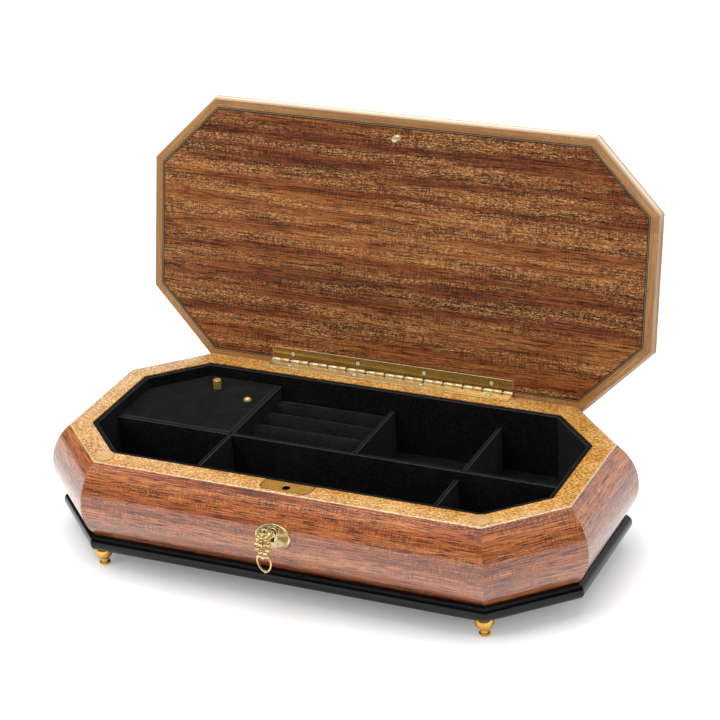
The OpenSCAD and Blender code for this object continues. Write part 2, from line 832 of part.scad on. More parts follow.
// Bow: a cluster of beads on two cheeks about the eye, with an open pointed loop below
bead_r = 1.8;
cheek_in = 0.8 + gap;
bow_low = 6.2;
loop_r = 4.3;
wire = 1.3;
module key_bow() {
    loop_z = bow_low + loop_r;
    color("gold") on_key() translate([0, eye_y, 0]) {
        rotate([0, 90, 0]) cylinder(r = bow_pin_r, h = 2 * cheek_in + 2, center = true, $fn = 32);
        for (s = [-1, 1]) {
            translate([s * (cheek_in + 0.7), 0, 0]) rotate([0, 90, 0])
                cylinder(r = 1.8, h = 1.4, center = true, $fn = 32);
            translate([s * (cheek_in + 0.7) - 0.7, -0.9, -6.4]) cube([1.4, 1.8, 6.4]);
            for (b = [[2.4, 3.2], [3.5, 0.2], [3.3, -3.2], [1.6, -5.6], [2.4, -8]])
                translate([s * b[0], 0, b[1]]) sphere(r = bead_r, $fn = 24);
        }
        translate([0, 0, 4.2]) sphere(r = 1.6, $fn = 24);
        translate([0, 0, -8.6]) sphere(r = bead_r, $fn = 24);
        translate([0, 0.7, -loop_z]) rotate([90, 0, 0]) linear_extrude(1.4) difference() {
            loop_shape(loop_r, bow_l - loop_z);
            loop_shape(loop_r - wire, bow_l - loop_z - 2 * wire);
        }
    }
}
// A round top that runs down to a point
module loop_shape(r, drop) {
    t = acos(r / drop);
    circle(r = r, $fn = 64);
    polygon([[0, -drop], [r * sin(t), -r * cos(t)], [0, 0], [-r * sin(t), -r * cos(t)]]);
}

// ---------------------------------------------------------------- movement

bed_z = panel_z;
bed_t = 3;
bed_top = bed_z + bed_t;
drum_x = bay_x - divider_t / 2 - drum_r - 4.6;
arbor_r = 2;
ratchet_r = 5;
ratchet_t = 1.2;
drum_z = bed_top + ratchet_t + 2 * gap;
crown_teeth = 40;
crown_r = drum_r - 1.5;
crown_h = 0.9;
pinion_teeth = 12;
pinion_r = crown_r * pinion_teeth / crown_teeth;

// Heights stack down from the cover: brake arm, fly, cylinder and the barrel under its pinion
arm_t = 1.2;
arm_clear = 1.95;
disc_t = 0.6;
fly_h = 3;
fly_rise = 4.9;
arm_z = high_z - cover_t - arm_clear - arm_t;
disc_z = arm_z - gap - knob_travel - disc_t;
fly_z = disc_z - fly_h;
cyl_z = fly_z - fly_rise;
drum_top = cyl_z - pinion_r - crown_h / 2;
drum_h = drum_top - drum_z;
pinion_x = drum_x - crown_r;
right_post_x = drum_x - drum_r - 1.9;
cyl_x1 = right_post_x - 1.5;
cyl_x0 = cyl_x1 - cyl_l;
great_teeth = 48;
great_r = 8;
great_x = cyl_x0 - 1.6;
left_post_x = great_x - 2.2;
bed_x0 = left_post_x - 1.8;
bed_x1 = bay_x - divider_t / 2 - 2;
bed_y0 = long_y + divider_t / 2 + 1;
bed_back = 21;
bed_y1 = cyl_y + bed_back;
bed_screw_r = 1.3;
bed_screws = [[bed_x1 - 3, bed_y0 + 4], [bed_x0 + 3.2, bed_y0 + 4], [bed_x1 - 3, cyl_y + 9],
    [bed_x0 + 16, bed_y1 - 4]];

comb_t = 1.6;
comb_tip_y = cyl_y - cyl_r - pin_h - gap;
comb_x0 = cyl_x0 + 0.6;
comb_x1 = cyl_x1 - 0.6;
note_pitch = (comb_x1 - comb_x0) / note_count;
comb_root = 6;
comb_screw_x = [for (k = [0.15, 0.5, 0.85]) comb_x0 + k * (comb_x1 - comb_x0)];
module comb_screw_set(r) {
    for (x = comb_screw_x) translate([x, bed_y0 + comb_root / 2, cyl_z - comb_t - 4])
        cylinder(r = r, h = comb_t + 4.5);
}

// Along +X from x, at the height of the cylinder and y behind its axis
module along_x(x, y) {
    translate([x, cyl_y + y, cyl_z]) rotate([0, 90, 0]) children();
}
shaft_r = 1;
wheel_teeth = 20;
gov_pinion_teeth = 12;
gov_pinion_r = great_r * gov_pinion_teeth / great_teeth;
gov_y = great_r + gov_pinion_r;
worm_wheel_r = 4.4;
worm_r = 1.4;
fly_x = great_x - 2.4;
fly_y = gov_y + worm_wheel_r + worm_r + 0.5;
fly_r = 5;
click_x = drum_x + 9;
click_y = cyl_y - 6;

tongue_w = 8;
guide_r = 3.5;
guide_h = 7;
cheek_w = 6;
bearing_t = 1.6;
worm_l = 6.4;

module bed_bores() {
    translate([drum_x, cyl_y, 0]) cylinder(r = arbor_r + run, h = far);
    translate([knob_x, knob_y, 0]) cylinder(r = knob_rod_r + run, h = far);
    translate([cover_screw_x - post_r - gap, cover_screw_y - post_r - gap, 0]) cube([far, far, far]);
    for (p = bed_screws) translate([p[0], p[1], 0]) cylinder(r = bed_screw_r + fit, h = bed_top + 1);
    translate([click_x, click_y, 0]) cylinder(r = 0.8 + fit, h = bed_top + 1);
    translate([fly_x, cyl_y + fly_y, bed_top - 1.5]) cylinder(r = 0.6 + run, h = 3);
    comb_screw_set(shaft_r + fit);
    for (x = [left_post_x, right_post_x]) along_x(x - 2, 0) cylinder(r = shaft_r + run, h = 4);
    gov_screw_set(1 + fit);
}
module bedplate() {
    color("darkgoldenrod") difference() {
        union() {
            translate([bed_x0, bed_y0, bed_z]) cube([bed_x1 - bed_x0, bed_y1 - bed_y0, bed_t]);
            translate([knob_x - tongue_w / 2, bed_y1 - 1, bed_z])
                cube([tongue_w, knob_y + tongue_w / 2 - bed_y1 + 1, bed_t]);
            translate([knob_x, knob_y, bed_z]) cylinder(r = guide_r, h = bed_t + guide_h);
            translate([comb_x0 - 1, bed_y0, bed_z])
                cube([comb_x1 - comb_x0 + 2, comb_root, cyl_z - comb_t - bed_z]);
            for (x = [left_post_x, right_post_x]) {
                translate([x - bearing_t / 2, cyl_y - cheek_w / 2, bed_z])
                    cube([bearing_t, cheek_w, cyl_z - bed_z]);
                along_x(x - bearing_t / 2, 0) cylinder(r = cheek_w / 2, h = bearing_t);
            }
        }
        bed_bores();
    }
}
module movement_screws() {
    color("silver") for (p = bed_screws) translate([p[0], p[1], wall_z - 1.2]) {
        cylinder(r = 2.6, h = 1.2);
        cylinder(r = bed_screw_r, h = bottom_t + bed_t + 0.6);
    }
}

module comb() {
    color("silver") difference() {
        union() {
            translate([comb_x0, bed_y0, cyl_z - comb_t]) cube([comb_x1 - comb_x0, comb_root, comb_t]);
            for (k = [0 : note_count - 1])
                translate([comb_x0 + k * note_pitch + 0.15, bed_y0 + comb_root - 1, cyl_z - 0.7])
                    cube([note_pitch - 0.3, comb_tip_y - bed_y0 - comb_root + 1, 0.7]);
        }
        comb_screw_set(shaft_r + fit);
    }
}
module comb_screws() {
    color("gold") {
        comb_screw_set(shaft_r);
        for (x = comb_screw_x) translate([x, bed_y0 + comb_root / 2, cyl_z]) cylinder(r = 1.9, h = 1);
    }
}

// A toothed disc: narrow teeth, so that two wheels in mesh pass each other with clearance
module toothed(r, depth, count, thick) {
    root = r - depth / 2;
    tip = r + depth / 2 - 0.12;
    half = 360 / count * 0.19;
    linear_extrude(thick) union() {
        circle(r = root, $fn = 64);
        for (k = [0 : count - 1]) rotate([0, 0, k * 360 / count])
            polygon([[root - 0.3, -root * sin(half)], [root, -root * sin(half)], [tip, -tip * sin(half * 0.5)],
                [tip, tip * sin(half * 0.5)], [root, root * sin(half)], [root - 0.3, root * sin(half)]]);
    }
}

pins_per_note = 3;
module pinned_cylinder() {
    color("goldenrod") union() {
        difference() {
            along_x(cyl_x0, 0) cylinder(r = cyl_r, h = cyl_l, $fn = 96);
            along_x(cyl_x0 + 1, 0) ring(cyl_r - 0.7, shaft_r, cyl_l - 2);
        }
        along_x(left_post_x - 1.4, 0) cylinder(r = shaft_r, h = pinion_x + 1.4 - left_post_x + 1.4);
        along_x(great_x, 0) toothed(great_r, 0.8, great_teeth, 1.2);
        along_x(great_x + 0.6, 0) cylinder(r = 3, h = cyl_x0 - great_x);
        along_x(pinion_x - 0.6, 0) toothed(pinion_r, 0.9, pinion_teeth, 1.2);
        for (k = [0 : note_count - 1]) for (m = [0 : pins_per_note - 1])
            translate([comb_x0 + (k + 0.5) * note_pitch, cyl_y, cyl_z])
                rotate([12 + m * 360 / pins_per_note + (k * 137) % 97, 0, 0])
                    cylinder(r = 0.25, h = cyl_r + pin_h, $fn = 16);
    }
}

drum_wall = 0.8;
module spring_barrel() {
    color("gold") translate([drum_x, cyl_y, drum_z]) union() {
        difference() {
            cylinder(r = drum_r, h = drum_h, $fn = 96);
            translate([0, 0, drum_wall]) cylinder(r = drum_r - drum_wall, h = drum_h - 2 * drum_wall, $fn = 96);
            translate([0, 0, -1]) cylinder(r = arbor_r + run, h = drum_h + 2);
        }
        for (k = [0 : crown_teeth - 1]) rotate([0, 0, (k + 0.5) * 360 / crown_teeth])
            translate([crown_r - 1, -0.32, drum_h - 0.2]) cube([2, 0.64, crown_h - 0.12 + 0.2]);
    }
}
spring_turns = 5;
spring_t = 0.35;
function spiral(t, d) = let(r = arbor_r + 2 + (drum_r - drum_wall - arbor_r - 2.6) * t / (360 * spring_turns))
    [(r + d) * cos(t), (r + d) * sin(t)];
module mainspring() {
    last = 360 * spring_turns;
    color("slategray") translate([drum_x, cyl_y, drum_z + 1.4]) linear_extrude(drum_h - 2.8)
        polygon(concat([for (t = [0 : 15 : last]) spiral(t, 0)], [for (t = [last : -15 : 0]) spiral(t, spring_t)]));
}
arbor_low = 7;
module winding_arbor() {
    color("silver") translate([drum_x, cyl_y, 0]) {
        translate([0, 0, arbor_low]) cylinder(r = arbor_r, h = drum_top + 1.2 - arbor_low);
        translate([0, 0, bed_top + gap]) toothed(ratchet_r, 0.9, 16, ratchet_t);
        translate([0, 0, drum_top + gap]) cylinder(r = 3.2, h = 1);
    }
}
wing_r = 4.5;
wing_t = 1.8;
key_hub_r = 3.6;
module winding_key() {
    color("gold") translate([drum_x, cyl_y, 0]) difference() {
        union() {
            translate([0, 0, 3]) cylinder(r = key_hub_r, h = arbor_low + 5);
            for (m = [-1, 1]) translate([m * (wing_r + 1), 0, wing_r + 2]) rotate([90, 0, 0])
                cylinder(r = wing_r, h = wing_t, center = true);
        }
        translate([0, 0, arbor_low]) cylinder(r = arbor_r + fit, h = far);
    }
}
module ratchet_click() {
    turn = atan2(cyl_y - click_y, drum_x - click_x);
    reach = norm([drum_x - click_x, cyl_y - click_y]) - ratchet_r - 0.45 - gap;
    color("silver") translate([click_x, click_y, bed_top + gap]) {
        cylinder(r = 1.6, h = ratchet_t);
        rotate([0, 0, turn]) translate([0, -0.7, 0]) cube([reach, 1.4, ratchet_t]);
        translate([0, 0, -bed_t]) cylinder(r = 0.8, h = bed_t + ratchet_t);
        translate([0, 0, -gap]) cylinder(r = 1.4, h = gap + 0.1);
    }
}

// Bracket of the governor: two cheeks, a back with an arm for the fly's shaft, and screwed feet
gov_x0 = great_x - 5.2;
gov_x1 = great_x + 2.4;
gov_back = cyl_y + fly_y + 2.4;
cheek_t = 1;
foot_t = 1.2;
module gov_screw_set(r) {
    for (x = [gov_x0 - 1.8, gov_x1 + 2.8]) translate([x, cyl_y + gov_y + 1.4, bed_top - 2.2])
        cylinder(r = r, h = 4.5);
}
module governor_frame() {
    color("gold") difference() {
        union() {
            for (x = [gov_x0, gov_x1]) {
                translate([x, cyl_y + gov_y - 1.6, bed_top]) cube([cheek_t, fly_y - gov_y + 5, cyl_z - bed_top]);
                along_x(x, gov_y) cylinder(r = 1.6, h = cheek_t);
            }
            translate([gov_x0, gov_back, bed_top]) cube([gov_x1 + cheek_t - gov_x0, 1, cyl_z + 4.2 - bed_top]);
            translate([fly_x - 1.5, cyl_y + fly_y - 1.6, cyl_z + 3]) cube([3, gov_back - cyl_y - fly_y + 2, 1.2]);
            translate([gov_x0 - 1, cyl_y + gov_y - 1.2, bed_top]) cube([2, 6, foot_t]);
            translate([gov_x1, cyl_y + gov_y - 1.2, bed_top]) cube([5.4, 6, foot_t]);
        }
        for (x = [gov_x0, gov_x1]) along_x(x - 1, gov_y) cylinder(r = 0.6 + run, h = 3);
        translate([fly_x, cyl_y + fly_y, cyl_z]) cylinder(r = 0.6 + run, h = 6);
        gov_screw_set(1 + fit);
    }
}
module governor_wheel() {
    color("gold") union() {
        along_x(gov_x0 - 0.4, gov_y) cylinder(r = 0.6, h = gov_x1 + cheek_t + 0.8 - gov_x0);
        along_x(great_x - 0.1, gov_y) rotate([0, 0, 180 / gov_pinion_teeth])
            toothed(gov_pinion_r, 0.8, gov_pinion_teeth, 1.4);
        along_x(fly_x - 0.5, gov_y) toothed(worm_wheel_r, 0.6, wheel_teeth, 1);
    }
}
module fly() {
    color("silver") translate([fly_x, cyl_y + fly_y, 0]) union() {
        translate([0, 0, bed_top - 1.4]) cylinder(r = 0.6, h = disc_z - bed_top + 1.4);
        translate([0, 0, cyl_z - 4]) cylinder(r = worm_r, h = worm_l);
        translate([0, 0, fly_z - 0.4]) cylinder(r = 1.2, h = fly_h + 0.4);
        translate([-fly_r, -0.25, fly_z]) cube([2 * fly_r, 0.5, fly_h + 0.1]);
        translate([0, 0, disc_z]) cylinder(r = 3, h = disc_t);
    }
}

// Start knob: a flat-topped button on a rod, whose arm lowers a brake pad onto the fly
module start_knob() {
    dx = fly_x - knob_x;
    dy = cyl_y + fly_y - knob_y;
    color("gold") union() {
        translate([knob_x, knob_y, 0]) {
            translate([0, 0, bed_z + knob_travel + 2 * gap])
                cylinder(r = knob_rod_r, h = high_z - bed_z - knob_travel - 2 * gap);
            translate([0, 0, high_z - cover_t - 0.5]) cylinder(r = knob_r, h = cover_t + 0.5 + knob_h);
            translate([0, 0, arm_z]) rotate([0, 0, atan2(dy, dx)]) translate([0, -0.8, 0])
                cube([norm([dx, dy]), 1.6, arm_t]);
        }
        translate([fly_x, cyl_y + fly_y, arm_z]) cylinder(r = 1.6, h = arm_t);
    }
}

wall_front();
wall_back();
wall_left();
wall_right();
wall_front_left();
wall_front_right();
wall_back_left();
wall_back_right();
rim();
plinth();
bottom_panel();
feet();
foot_screws();
wall_lining();
floor_pad();
ring_base();
divider_long();
divider_bay();
divider_ring();
divider_right();
ring_roll_1();
ring_roll_2();
ring_roll_3();
ring_roll_4();
movement_cover();
cover_posts();
cover_screw();
bumpers();
hinge_body_leaf();
hinge_lid_leaf();
hinge_pin();
hinge_body_screws();
hinge_lid_screws();
lid_board();
lid_edging();
lid_string();
lid_inner_veneer();
lid_top_veneer();
lock_plate();
lock_case();
lock_bolt();
lock_strike();
escutcheon();
escutcheon_pins();
key_shank();
key_bow();
bedplate();
movement_screws();
pinned_cylinder();
comb();
comb_screws();
spring_barrel();
mainspring();
winding_arbor();
winding_key();
ratchet_click();
governor_frame();
governor_wheel();
fly();
start_knob();
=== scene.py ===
"""Looks of an eight-sided musical jewellery box: veneered case, hinged lid, velvet trays and brass."""
import math

import bmesh
import bpy
import numpy as np
from mathutils import Matrix, Vector


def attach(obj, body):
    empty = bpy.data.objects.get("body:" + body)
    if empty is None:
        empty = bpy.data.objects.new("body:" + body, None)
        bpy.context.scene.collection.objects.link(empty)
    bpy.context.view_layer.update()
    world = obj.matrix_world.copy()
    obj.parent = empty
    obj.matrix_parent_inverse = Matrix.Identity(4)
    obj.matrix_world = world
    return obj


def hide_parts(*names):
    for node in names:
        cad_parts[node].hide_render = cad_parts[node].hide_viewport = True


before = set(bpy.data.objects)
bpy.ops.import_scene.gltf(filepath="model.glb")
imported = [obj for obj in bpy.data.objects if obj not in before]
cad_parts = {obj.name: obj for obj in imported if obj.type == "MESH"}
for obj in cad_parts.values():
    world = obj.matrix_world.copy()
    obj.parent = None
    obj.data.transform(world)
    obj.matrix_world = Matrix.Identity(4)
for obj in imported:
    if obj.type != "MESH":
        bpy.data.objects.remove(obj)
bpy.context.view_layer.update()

# ------------------------------------------------------------------ sizes, in millimetres
MM = 0.001
# Rim: outline, height of its top, veneer, its width along the long sides and the ends, inner corner
RIM_L, RIM_W, RIM_CORNER, CASE_H = 320.0, 153.6, 38.0, 68.75
RIM_T, RIM_LONG, RIM_END, OPENING_CORNER = 0.6, 12.7, 11.8, 31.0
# Sides: how far they swell, how far below the rim, and the radius of their lower part
BULGE, BULGE_DROP, SIDE_LOW_R = 12.4, 27.0, 30.0
# Feet and plinth: heights, how far the plinth reaches outwards and inwards, and its round
FOOT_H, PLINTH_T, PLINTH_OUT, PLINTH_IN, PLINTH_ROUND = 11.25, 10.25, 8.5, -29.0, 4.6
# Lid: thickness, reach over the rim, gap above it, and turn; edging, string and veneer; swell of the edge
LID_T, LID_OVER, LID_GAP, LID_OPEN = 9.0, 5.4, 1.6, math.radians(101.4)
EDGING_W, STRING_W, VENEER_T, LID_SWELL = 5.3, 1.5, 0.7, 2.0
# Hinge: axis behind the rim, barrel and leaf; knuckles in pairs, with a seam in each and a gap after it
HINGE_BACK, BARREL_R, LEAF_T, LEAF_W = 1.9, 1.5, 0.75, 8.5
KNUCKLE_L, KNUCKLE_SEAM, PAIR_GAP, PAIRS = 5.8, 0.15, 1.25, 12
LINING_T, LINING_DROP = 3.0, 0.5

WALL_Z = FOOT_H + PLINTH_T
CORNER_SHARE = 2 - math.sqrt(2)
OPENING_L, OPENING_W = RIM_L - 2 * RIM_END, RIM_W - 2 * RIM_LONG
SIDE_R = (BULGE ** 2 + BULGE_DROP ** 2) / (2 * BULGE)
SIDE_Z = CASE_H - BULGE_DROP
HINGE_Y, HINGE_Z = RIM_W / 2 + HINGE_BACK, CASE_H + LID_GAP / 2
LID_Z = CASE_H + LID_GAP
LID_TOP = LID_Z + LID_T

# Outlines: length, width and corner of each octagon
RIM = (RIM_L, RIM_W, RIM_CORNER)
OPENING = (OPENING_L, OPENING_W, OPENING_CORNER)
INNER = (OPENING_L - 2 * LINING_T, OPENING_W - 2 * LINING_T, OPENING_CORNER - CORNER_SHARE * LINING_T)
PLINTH = (RIM_L + 2 * PLINTH_OUT, RIM_W + 2 * PLINTH_OUT, RIM_CORNER + CORNER_SHARE * PLINTH_OUT)
LID = (RIM_L + 2 * LID_OVER, RIM_W + 2 * LID_OVER, RIM_CORNER + CORNER_SHARE * LID_OVER)


# ------------------------------------------------------------------ outlines and curves
def side_out(z):
    """How far the side stands outside the rim at height z.

    It is the bulge, less the radius, plus the root of radius squared less rise squared; the radius is
    one number above the widest place and another below it.
    """
    rise = np.asarray(z, float) - SIDE_Z
    radius = np.where(rise < 0, SIDE_LOW_R, SIDE_R)
    return BULGE - radius + np.sqrt(radius ** 2 - rise ** 2)


def octagon(length, width, corner, out=0.0):
    """Eight corners, anticlockwise from the front left one, of an outline moved outwards by out.

    Each side moves by out, so a corner's legs grow by out times two less the root of two.
    """
    a, b, c = length / 2 + out, width / 2 + out, corner + CORNER_SHARE * out
    return np.array([(-a + c, -b), (a - c, -b), (a, -b + c), (a, b - c),
                     (a - c, b), (-a + c, b), (-a, b - c), (-a, -b + c)])


def rectangle(x0, y0, x1, y1):
    """Four corners, anticlockwise from the lowest."""
    return np.array([(x0, y0), (x1, y0), (x1, y1), (x0, y1)])


def at_height(outline, z):
    """The points of a flat outline, all at one height."""
    return np.column_stack([outline, np.full(len(outline), z)])


def circle(segments):
    """Angles of points evenly round a circle."""
    return np.linspace(0, 2 * np.pi, segments, endpoint=False)


def arc(centre, radius, start, end, steps):
    """Points on a circle, centre plus radius by cosine and sine, from one angle to another in degrees."""
    t = np.radians(np.linspace(start, end, steps))
    return np.stack([centre[0] + radius * np.cos(t), centre[1] + radius * np.sin(t)], -1)


def bell(s, middle, width):
    """A smooth hump: e to the power of minus the square of the distance from the middle over the width."""
    return np.exp(-((s - middle) / width) ** 2)


def inset(outline, distance):
    """A convex outline with every side moved inwards; corners are where neighbouring sides now cross."""
    outline = np.asarray(outline, float)
    along = np.roll(outline, -1, 0) - outline
    along = along / np.linalg.norm(along, axis=1, keepdims=True)
    point = outline + distance * np.stack([-along[:, 1], along[:, 0]], -1)
    before, start = np.roll(along, 1, 0), np.roll(point, 1, 0)
    cross = before[:, 0] * along[:, 1] - before[:, 1] * along[:, 0]
    straight = np.abs(cross) < 1e-6
    gap = point - start
    reach = (gap[:, 0] * along[:, 1] - gap[:, 1] * along[:, 0]) / np.where(straight, 1, cross)
    return np.where(straight[:, None], point, start + before * reach[:, None])


def filleted(outline, radii, steps=7):
    """A convex anticlockwise outline whose corners are rounded by arcs of the given radii.

    An arc's middle lies on the corner's bisector, as far in as the radius over the sine of half the
    angle, and the arc turns from one side's foot to the other's.
    """
    outline = np.asarray(outline, float)
    arcs = []
    for k, radius in enumerate(radii):
        here = outline[k]
        u, v = outline[k - 1] - here, outline[(k + 1) % len(outline)] - here
        u, v = u / np.linalg.norm(u), v / np.linalg.norm(v)
        half = math.acos(u @ v) / 2
        centre = here + (u + v) / np.linalg.norm(u + v) * radius / math.sin(half)
        start = here + u * radius / math.tan(half) - centre
        end = here + v * radius / math.tan(half) - centre
        turn = math.atan2(start[0] * end[1] - start[1] * end[0], start @ end)
        t = np.linspace(0, turn, steps)[:, None]
        arcs.append(centre + np.cos(t) * start + np.sin(t) * np.array([-start[1], start[0]]))
    return np.concatenate(arcs)


# ------------------------------------------------------------------ meshes
class Part:
    """Points and faces of a piece, and two values at each point.

    The grain coordinate is millimetres along the grain and across it, and a number for the plank. The edge
    value says how pale a place is, from 0 to 1, for rubbed wear and for painted highlights and sheen, or how
    tarnished, down to -1.
    """

    def __init__(self):
        self.verts, self.faces, self.grain, self.edge = [], [], [], []
        self.count = 0

    def add(self, verts, faces, grain=None, edge=None):
        """Joins another set of faces to the piece."""
        verts = np.reshape(verts, (-1, 3))
        self.verts.append(verts)
        self.grain.append(verts if grain is None else np.reshape(grain, (-1, 3)))
        self.edge.append(np.zeros(len(verts)) if edge is None else np.ravel(edge))
        self.faces += [[k + self.count for k in face] for face in faces]
        self.count += len(verts)
        return self

    def moved(self, change):
        """The same piece with its points changed by a function on an (n, 3) array."""
        self.verts = [change(v) for v in self.verts]
        return self


def grid_faces(rows, columns, wrap_rows):
    """Quads between neighbouring points of a grid of closed rings that is stored row by row."""
    i, j = np.meshgrid(np.arange(rows if wrap_rows else rows - 1), np.arange(columns), indexing="ij")
    i, j = i.ravel(), j.ravel()
    i2, j2 = (i + 1) % rows, (j + 1) % columns
    return np.stack([i * columns + j, i * columns + j2, i2 * columns + j2, i2 * columns + j], -1)


def loft(part, rings, caps=(True, True), wrap=False, grain=None, edge=None):
    """A skin over closed rings, one after another, with flat ends or joined round on itself."""
    rings = np.asarray(rings, float)
    rows, columns = rings.shape[:2]
    last = (rows - 1) * columns
    ends = [list(range(columns)), list(range(last, last + columns))]
    faces = grid_faces(rows, columns, wrap).tolist()
    faces += [end for end, capped in zip(ends, caps) if capped and not wrap]
    return part.add(rings, faces, grain, edge)


def turned(part, profile, centre, axis="z", segments=48, edge_value=0.0):
    """A lathe shape: (radius, height) points turned about an axis through the centre.

    The edge value is one number, or one for each point of the profile.
    """
    profile = np.asarray(profile, float)
    t = circle(segments)
    r, h = profile[:, :1], profile[:, 1:] + 0 * t
    a, b = r * np.cos(t), r * np.sin(t)
    order = {"z": (a, b, h), "x": (h, a, b), "-y": (a, -h, b)}[axis]
    rings = np.stack(order, -1) + centre
    edge = np.zeros(rings.shape[:2]) + np.reshape(edge_value, (-1, 1))
    return loft(part, rings, caps=(r[0, 0] > 0, r[-1, 0] > 0), edge=edge)


def plate(part, outline, z0, z1, top, bottom, steps=4):
    """A flat piece on an outline, with its top and bottom edges rounded by quarter circles.

    The edge value is the sine of twice the angle along each round, so 1 in its middle and 0 at its ends.
    """
    low = np.linspace(0, np.pi / 2, steps if bottom > 0 else 1)
    high = np.linspace(0, np.pi / 2, steps if top > 0 else 1)
    shrink = np.r_[bottom * (1 - np.sin(low)), top * (1 - np.cos(high))]
    heights = np.r_[z0 + bottom * (1 - np.cos(low)), z1 - top * (1 - np.sin(high))]
    rings = [at_height(inset(outline, s), z) for s, z in zip(shrink, heights)]
    edge_value = np.sin(2 * np.r_[low, high])[:, None]
    return loft(part, rings, edge=np.repeat(edge_value, len(outline), 1))


# Neighbouring lengths lie this far apart in the noise of the grain
PLANK_STEP = 37.0


def moulding(section, outlines, planks=range(8)):
    """Mitred lengths round an octagon.

    A section is a closed list of (outline number, outwards, height) points, with an edge value after
    them where it isn't 0: outline 0 is the first octagon given and 1 the second. Each length runs
    straight from corner to corner. Its grain coordinate is the distance from its middle, the distance
    walked round the section, and a number of its own.
    """
    part, steps = Part(), 9
    t = np.linspace(0, 1, steps)[:, None]
    base = octagon(*outlines[0])
    for i in planks:
        j = (i + 1) % 8
        points = section(i)
        rows = []
        for which, out, z, *_ in points:
            corner = octagon(*outlines[which], out=out)
            rows.append(at_height(corner[i] + (corner[j] - corner[i]) * t, z))
        rings = np.stack(rows, 1)
        side = base[j] - base[i]
        along = (rings[..., :2] - (base[i] + base[j]) / 2) @ side / np.linalg.norm(side)
        flat = np.array([point[1:3] for point in points])
        walk = np.r_[0, np.cumsum(np.linalg.norm(np.diff(flat, axis=0), axis=1))]
        grain = np.stack([along, walk + 0 * along, np.full(along.shape, i * PLANK_STEP)], -1)
        edge_value = [point[3] if len(point) > 3 else 0.0 for point in points]
        loft(part, rings, grain=grain, edge=np.tile(edge_value, (steps, 1)))
    return part


def lid_pose(points):
    """Turns points of the closed lid about the hinge axis, by cosine and sine of the opening angle."""
    c, s = math.cos(-LID_OPEN), math.sin(-LID_OPEN)
    y, z = points[:, 1] - HINGE_Y, points[:, 2] - HINGE_Z
    return np.stack([points[:, 0], HINGE_Y + c * y - s * z, HINGE_Z + s * y + c * z], -1)


def closed_mesh(name, part):
    """Makes the mesh in metres at the origin, merges its seams and turns its faces outwards."""
    mesh = bpy.data.meshes.new(name)
    mesh.from_pydata((np.concatenate(part.verts) * MM).tolist(), [], part.faces)
    grain = mesh.attributes.new("grain", "FLOAT_VECTOR", "POINT")
    grain.data.foreach_set("vector", np.concatenate(part.grain).ravel().astype(np.float32))
    edge = mesh.attributes.new("edge", "FLOAT", "POINT")
    edge.data.foreach_set("value", np.concatenate(part.edge).astype(np.float32))
    work = bmesh.new()
    work.from_mesh(mesh)
    bmesh.ops.remove_doubles(work, verts=work.verts, dist=2e-6)
    bmesh.ops.dissolve_degenerate(work, edges=work.edges, dist=1e-7)
    bmesh.ops.recalc_face_normals(work, faces=work.faces)
    work.to_mesh(mesh)
    work.free()
    return mesh


def put(name, data):
    """A new object in the scene, at the origin and unturned."""
    made = bpy.data.objects.new(name, data)
    bpy.context.scene.collection.objects.link(made)
    return made


def cut_away(piece, part):
    """Cuts a closed shape out of a piece, as a mortise or a bored hole."""
    mesh = closed_mesh("cutter", part)
    cutter = put("cutter", mesh)
    cut = piece.modifiers.new("cut", "BOOLEAN")
    cut.operation, cut.solver, cut.object = "DIFFERENCE", "EXACT", cutter
    bpy.context.view_layer.objects.active = piece
    bpy.ops.object.modifier_apply(modifier=cut.name)
    bpy.data.objects.remove(cutter)
    bpy.data.meshes.remove(mesh)


def finish_piece(name, part, material, body, replaces=(), smooth_angle=38):
    """Makes a piece from its shape, smooths it below an angle, gives it its finish and rides it."""
    mesh = closed_mesh(name, part)
    mesh.polygons.foreach_set("use_smooth", [True] * len(mesh.polygons))
    mesh.set_sharp_from_angle(angle=math.radians(smooth_angle))
    mesh.materials.append(material)
    piece = put(name, mesh)
    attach(piece, body)
    if replaces:
        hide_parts(*replaces)
    return piece


# ------------------------------------------------------------------ materials
# Sockets of a Mix node that hold its two colours, which share their names with others of it
FIRST, SECOND = 6, 7
# Colours that the edge value brings up: painted highlights on wood and burr, pale brass that is rubbed wear
# and on the hinge knuckles a painted highlight, and tarnish
PAINTED_HIGHLIGHT_WOOD, PAINTED_HIGHLIGHT_BURR, RUBBED_AND_HIGHLIGHT_BRASS, TARNISH = "#F8EAD2", "#FFFAEE", "#FFF3CE", "#3A2408"


def linear(hex_colour):
    """An sRGB hex colour as linear red, green, blue and alpha."""
    value = [int(hex_colour[k:k + 2], 16) / 255 for k in (1, 3, 5)]
    return [c / 12.92 if c <= 0.04045 else ((c + 0.055) / 1.055) ** 2.4 for c in value] + [1.0]


def add(tree, kind, sockets=(), stops=(), **settings):
    """Adds a node, sets its properties, and fills its sockets in order or by name.

    A hex string stands for its colour, and a node for its first output in use. Stops are the
    (position, hex colour) pairs of a colour ramp.
    """
    made = tree.nodes.new("ShaderNode" + kind)
    for key, value in settings.items():
        setattr(made, key, value)
    pairs = sockets.items() if isinstance(sockets, dict) else enumerate(sockets)
    for socket, value in pairs:
        if isinstance(value, bpy.types.Node):
            value = next(output for output in value.outputs if output.enabled)
        if isinstance(value, bpy.types.NodeSocket):
            tree.links.new(value, made.inputs[socket])
        else:
            made.inputs[socket].default_value = linear(value) if isinstance(value, str) else value
    for k, (position, colour) in enumerate(stops):
        points = made.color_ramp.elements
        point = points[k] if k < 2 else points.new(position)
        point.position = position
        point.color = linear(colour)
    return made


def clean_tree(owner):
    """The emptied node tree of a new material or world."""
    owner.use_nodes = True
    owner.node_tree.nodes.clear()
    return owner.node_tree


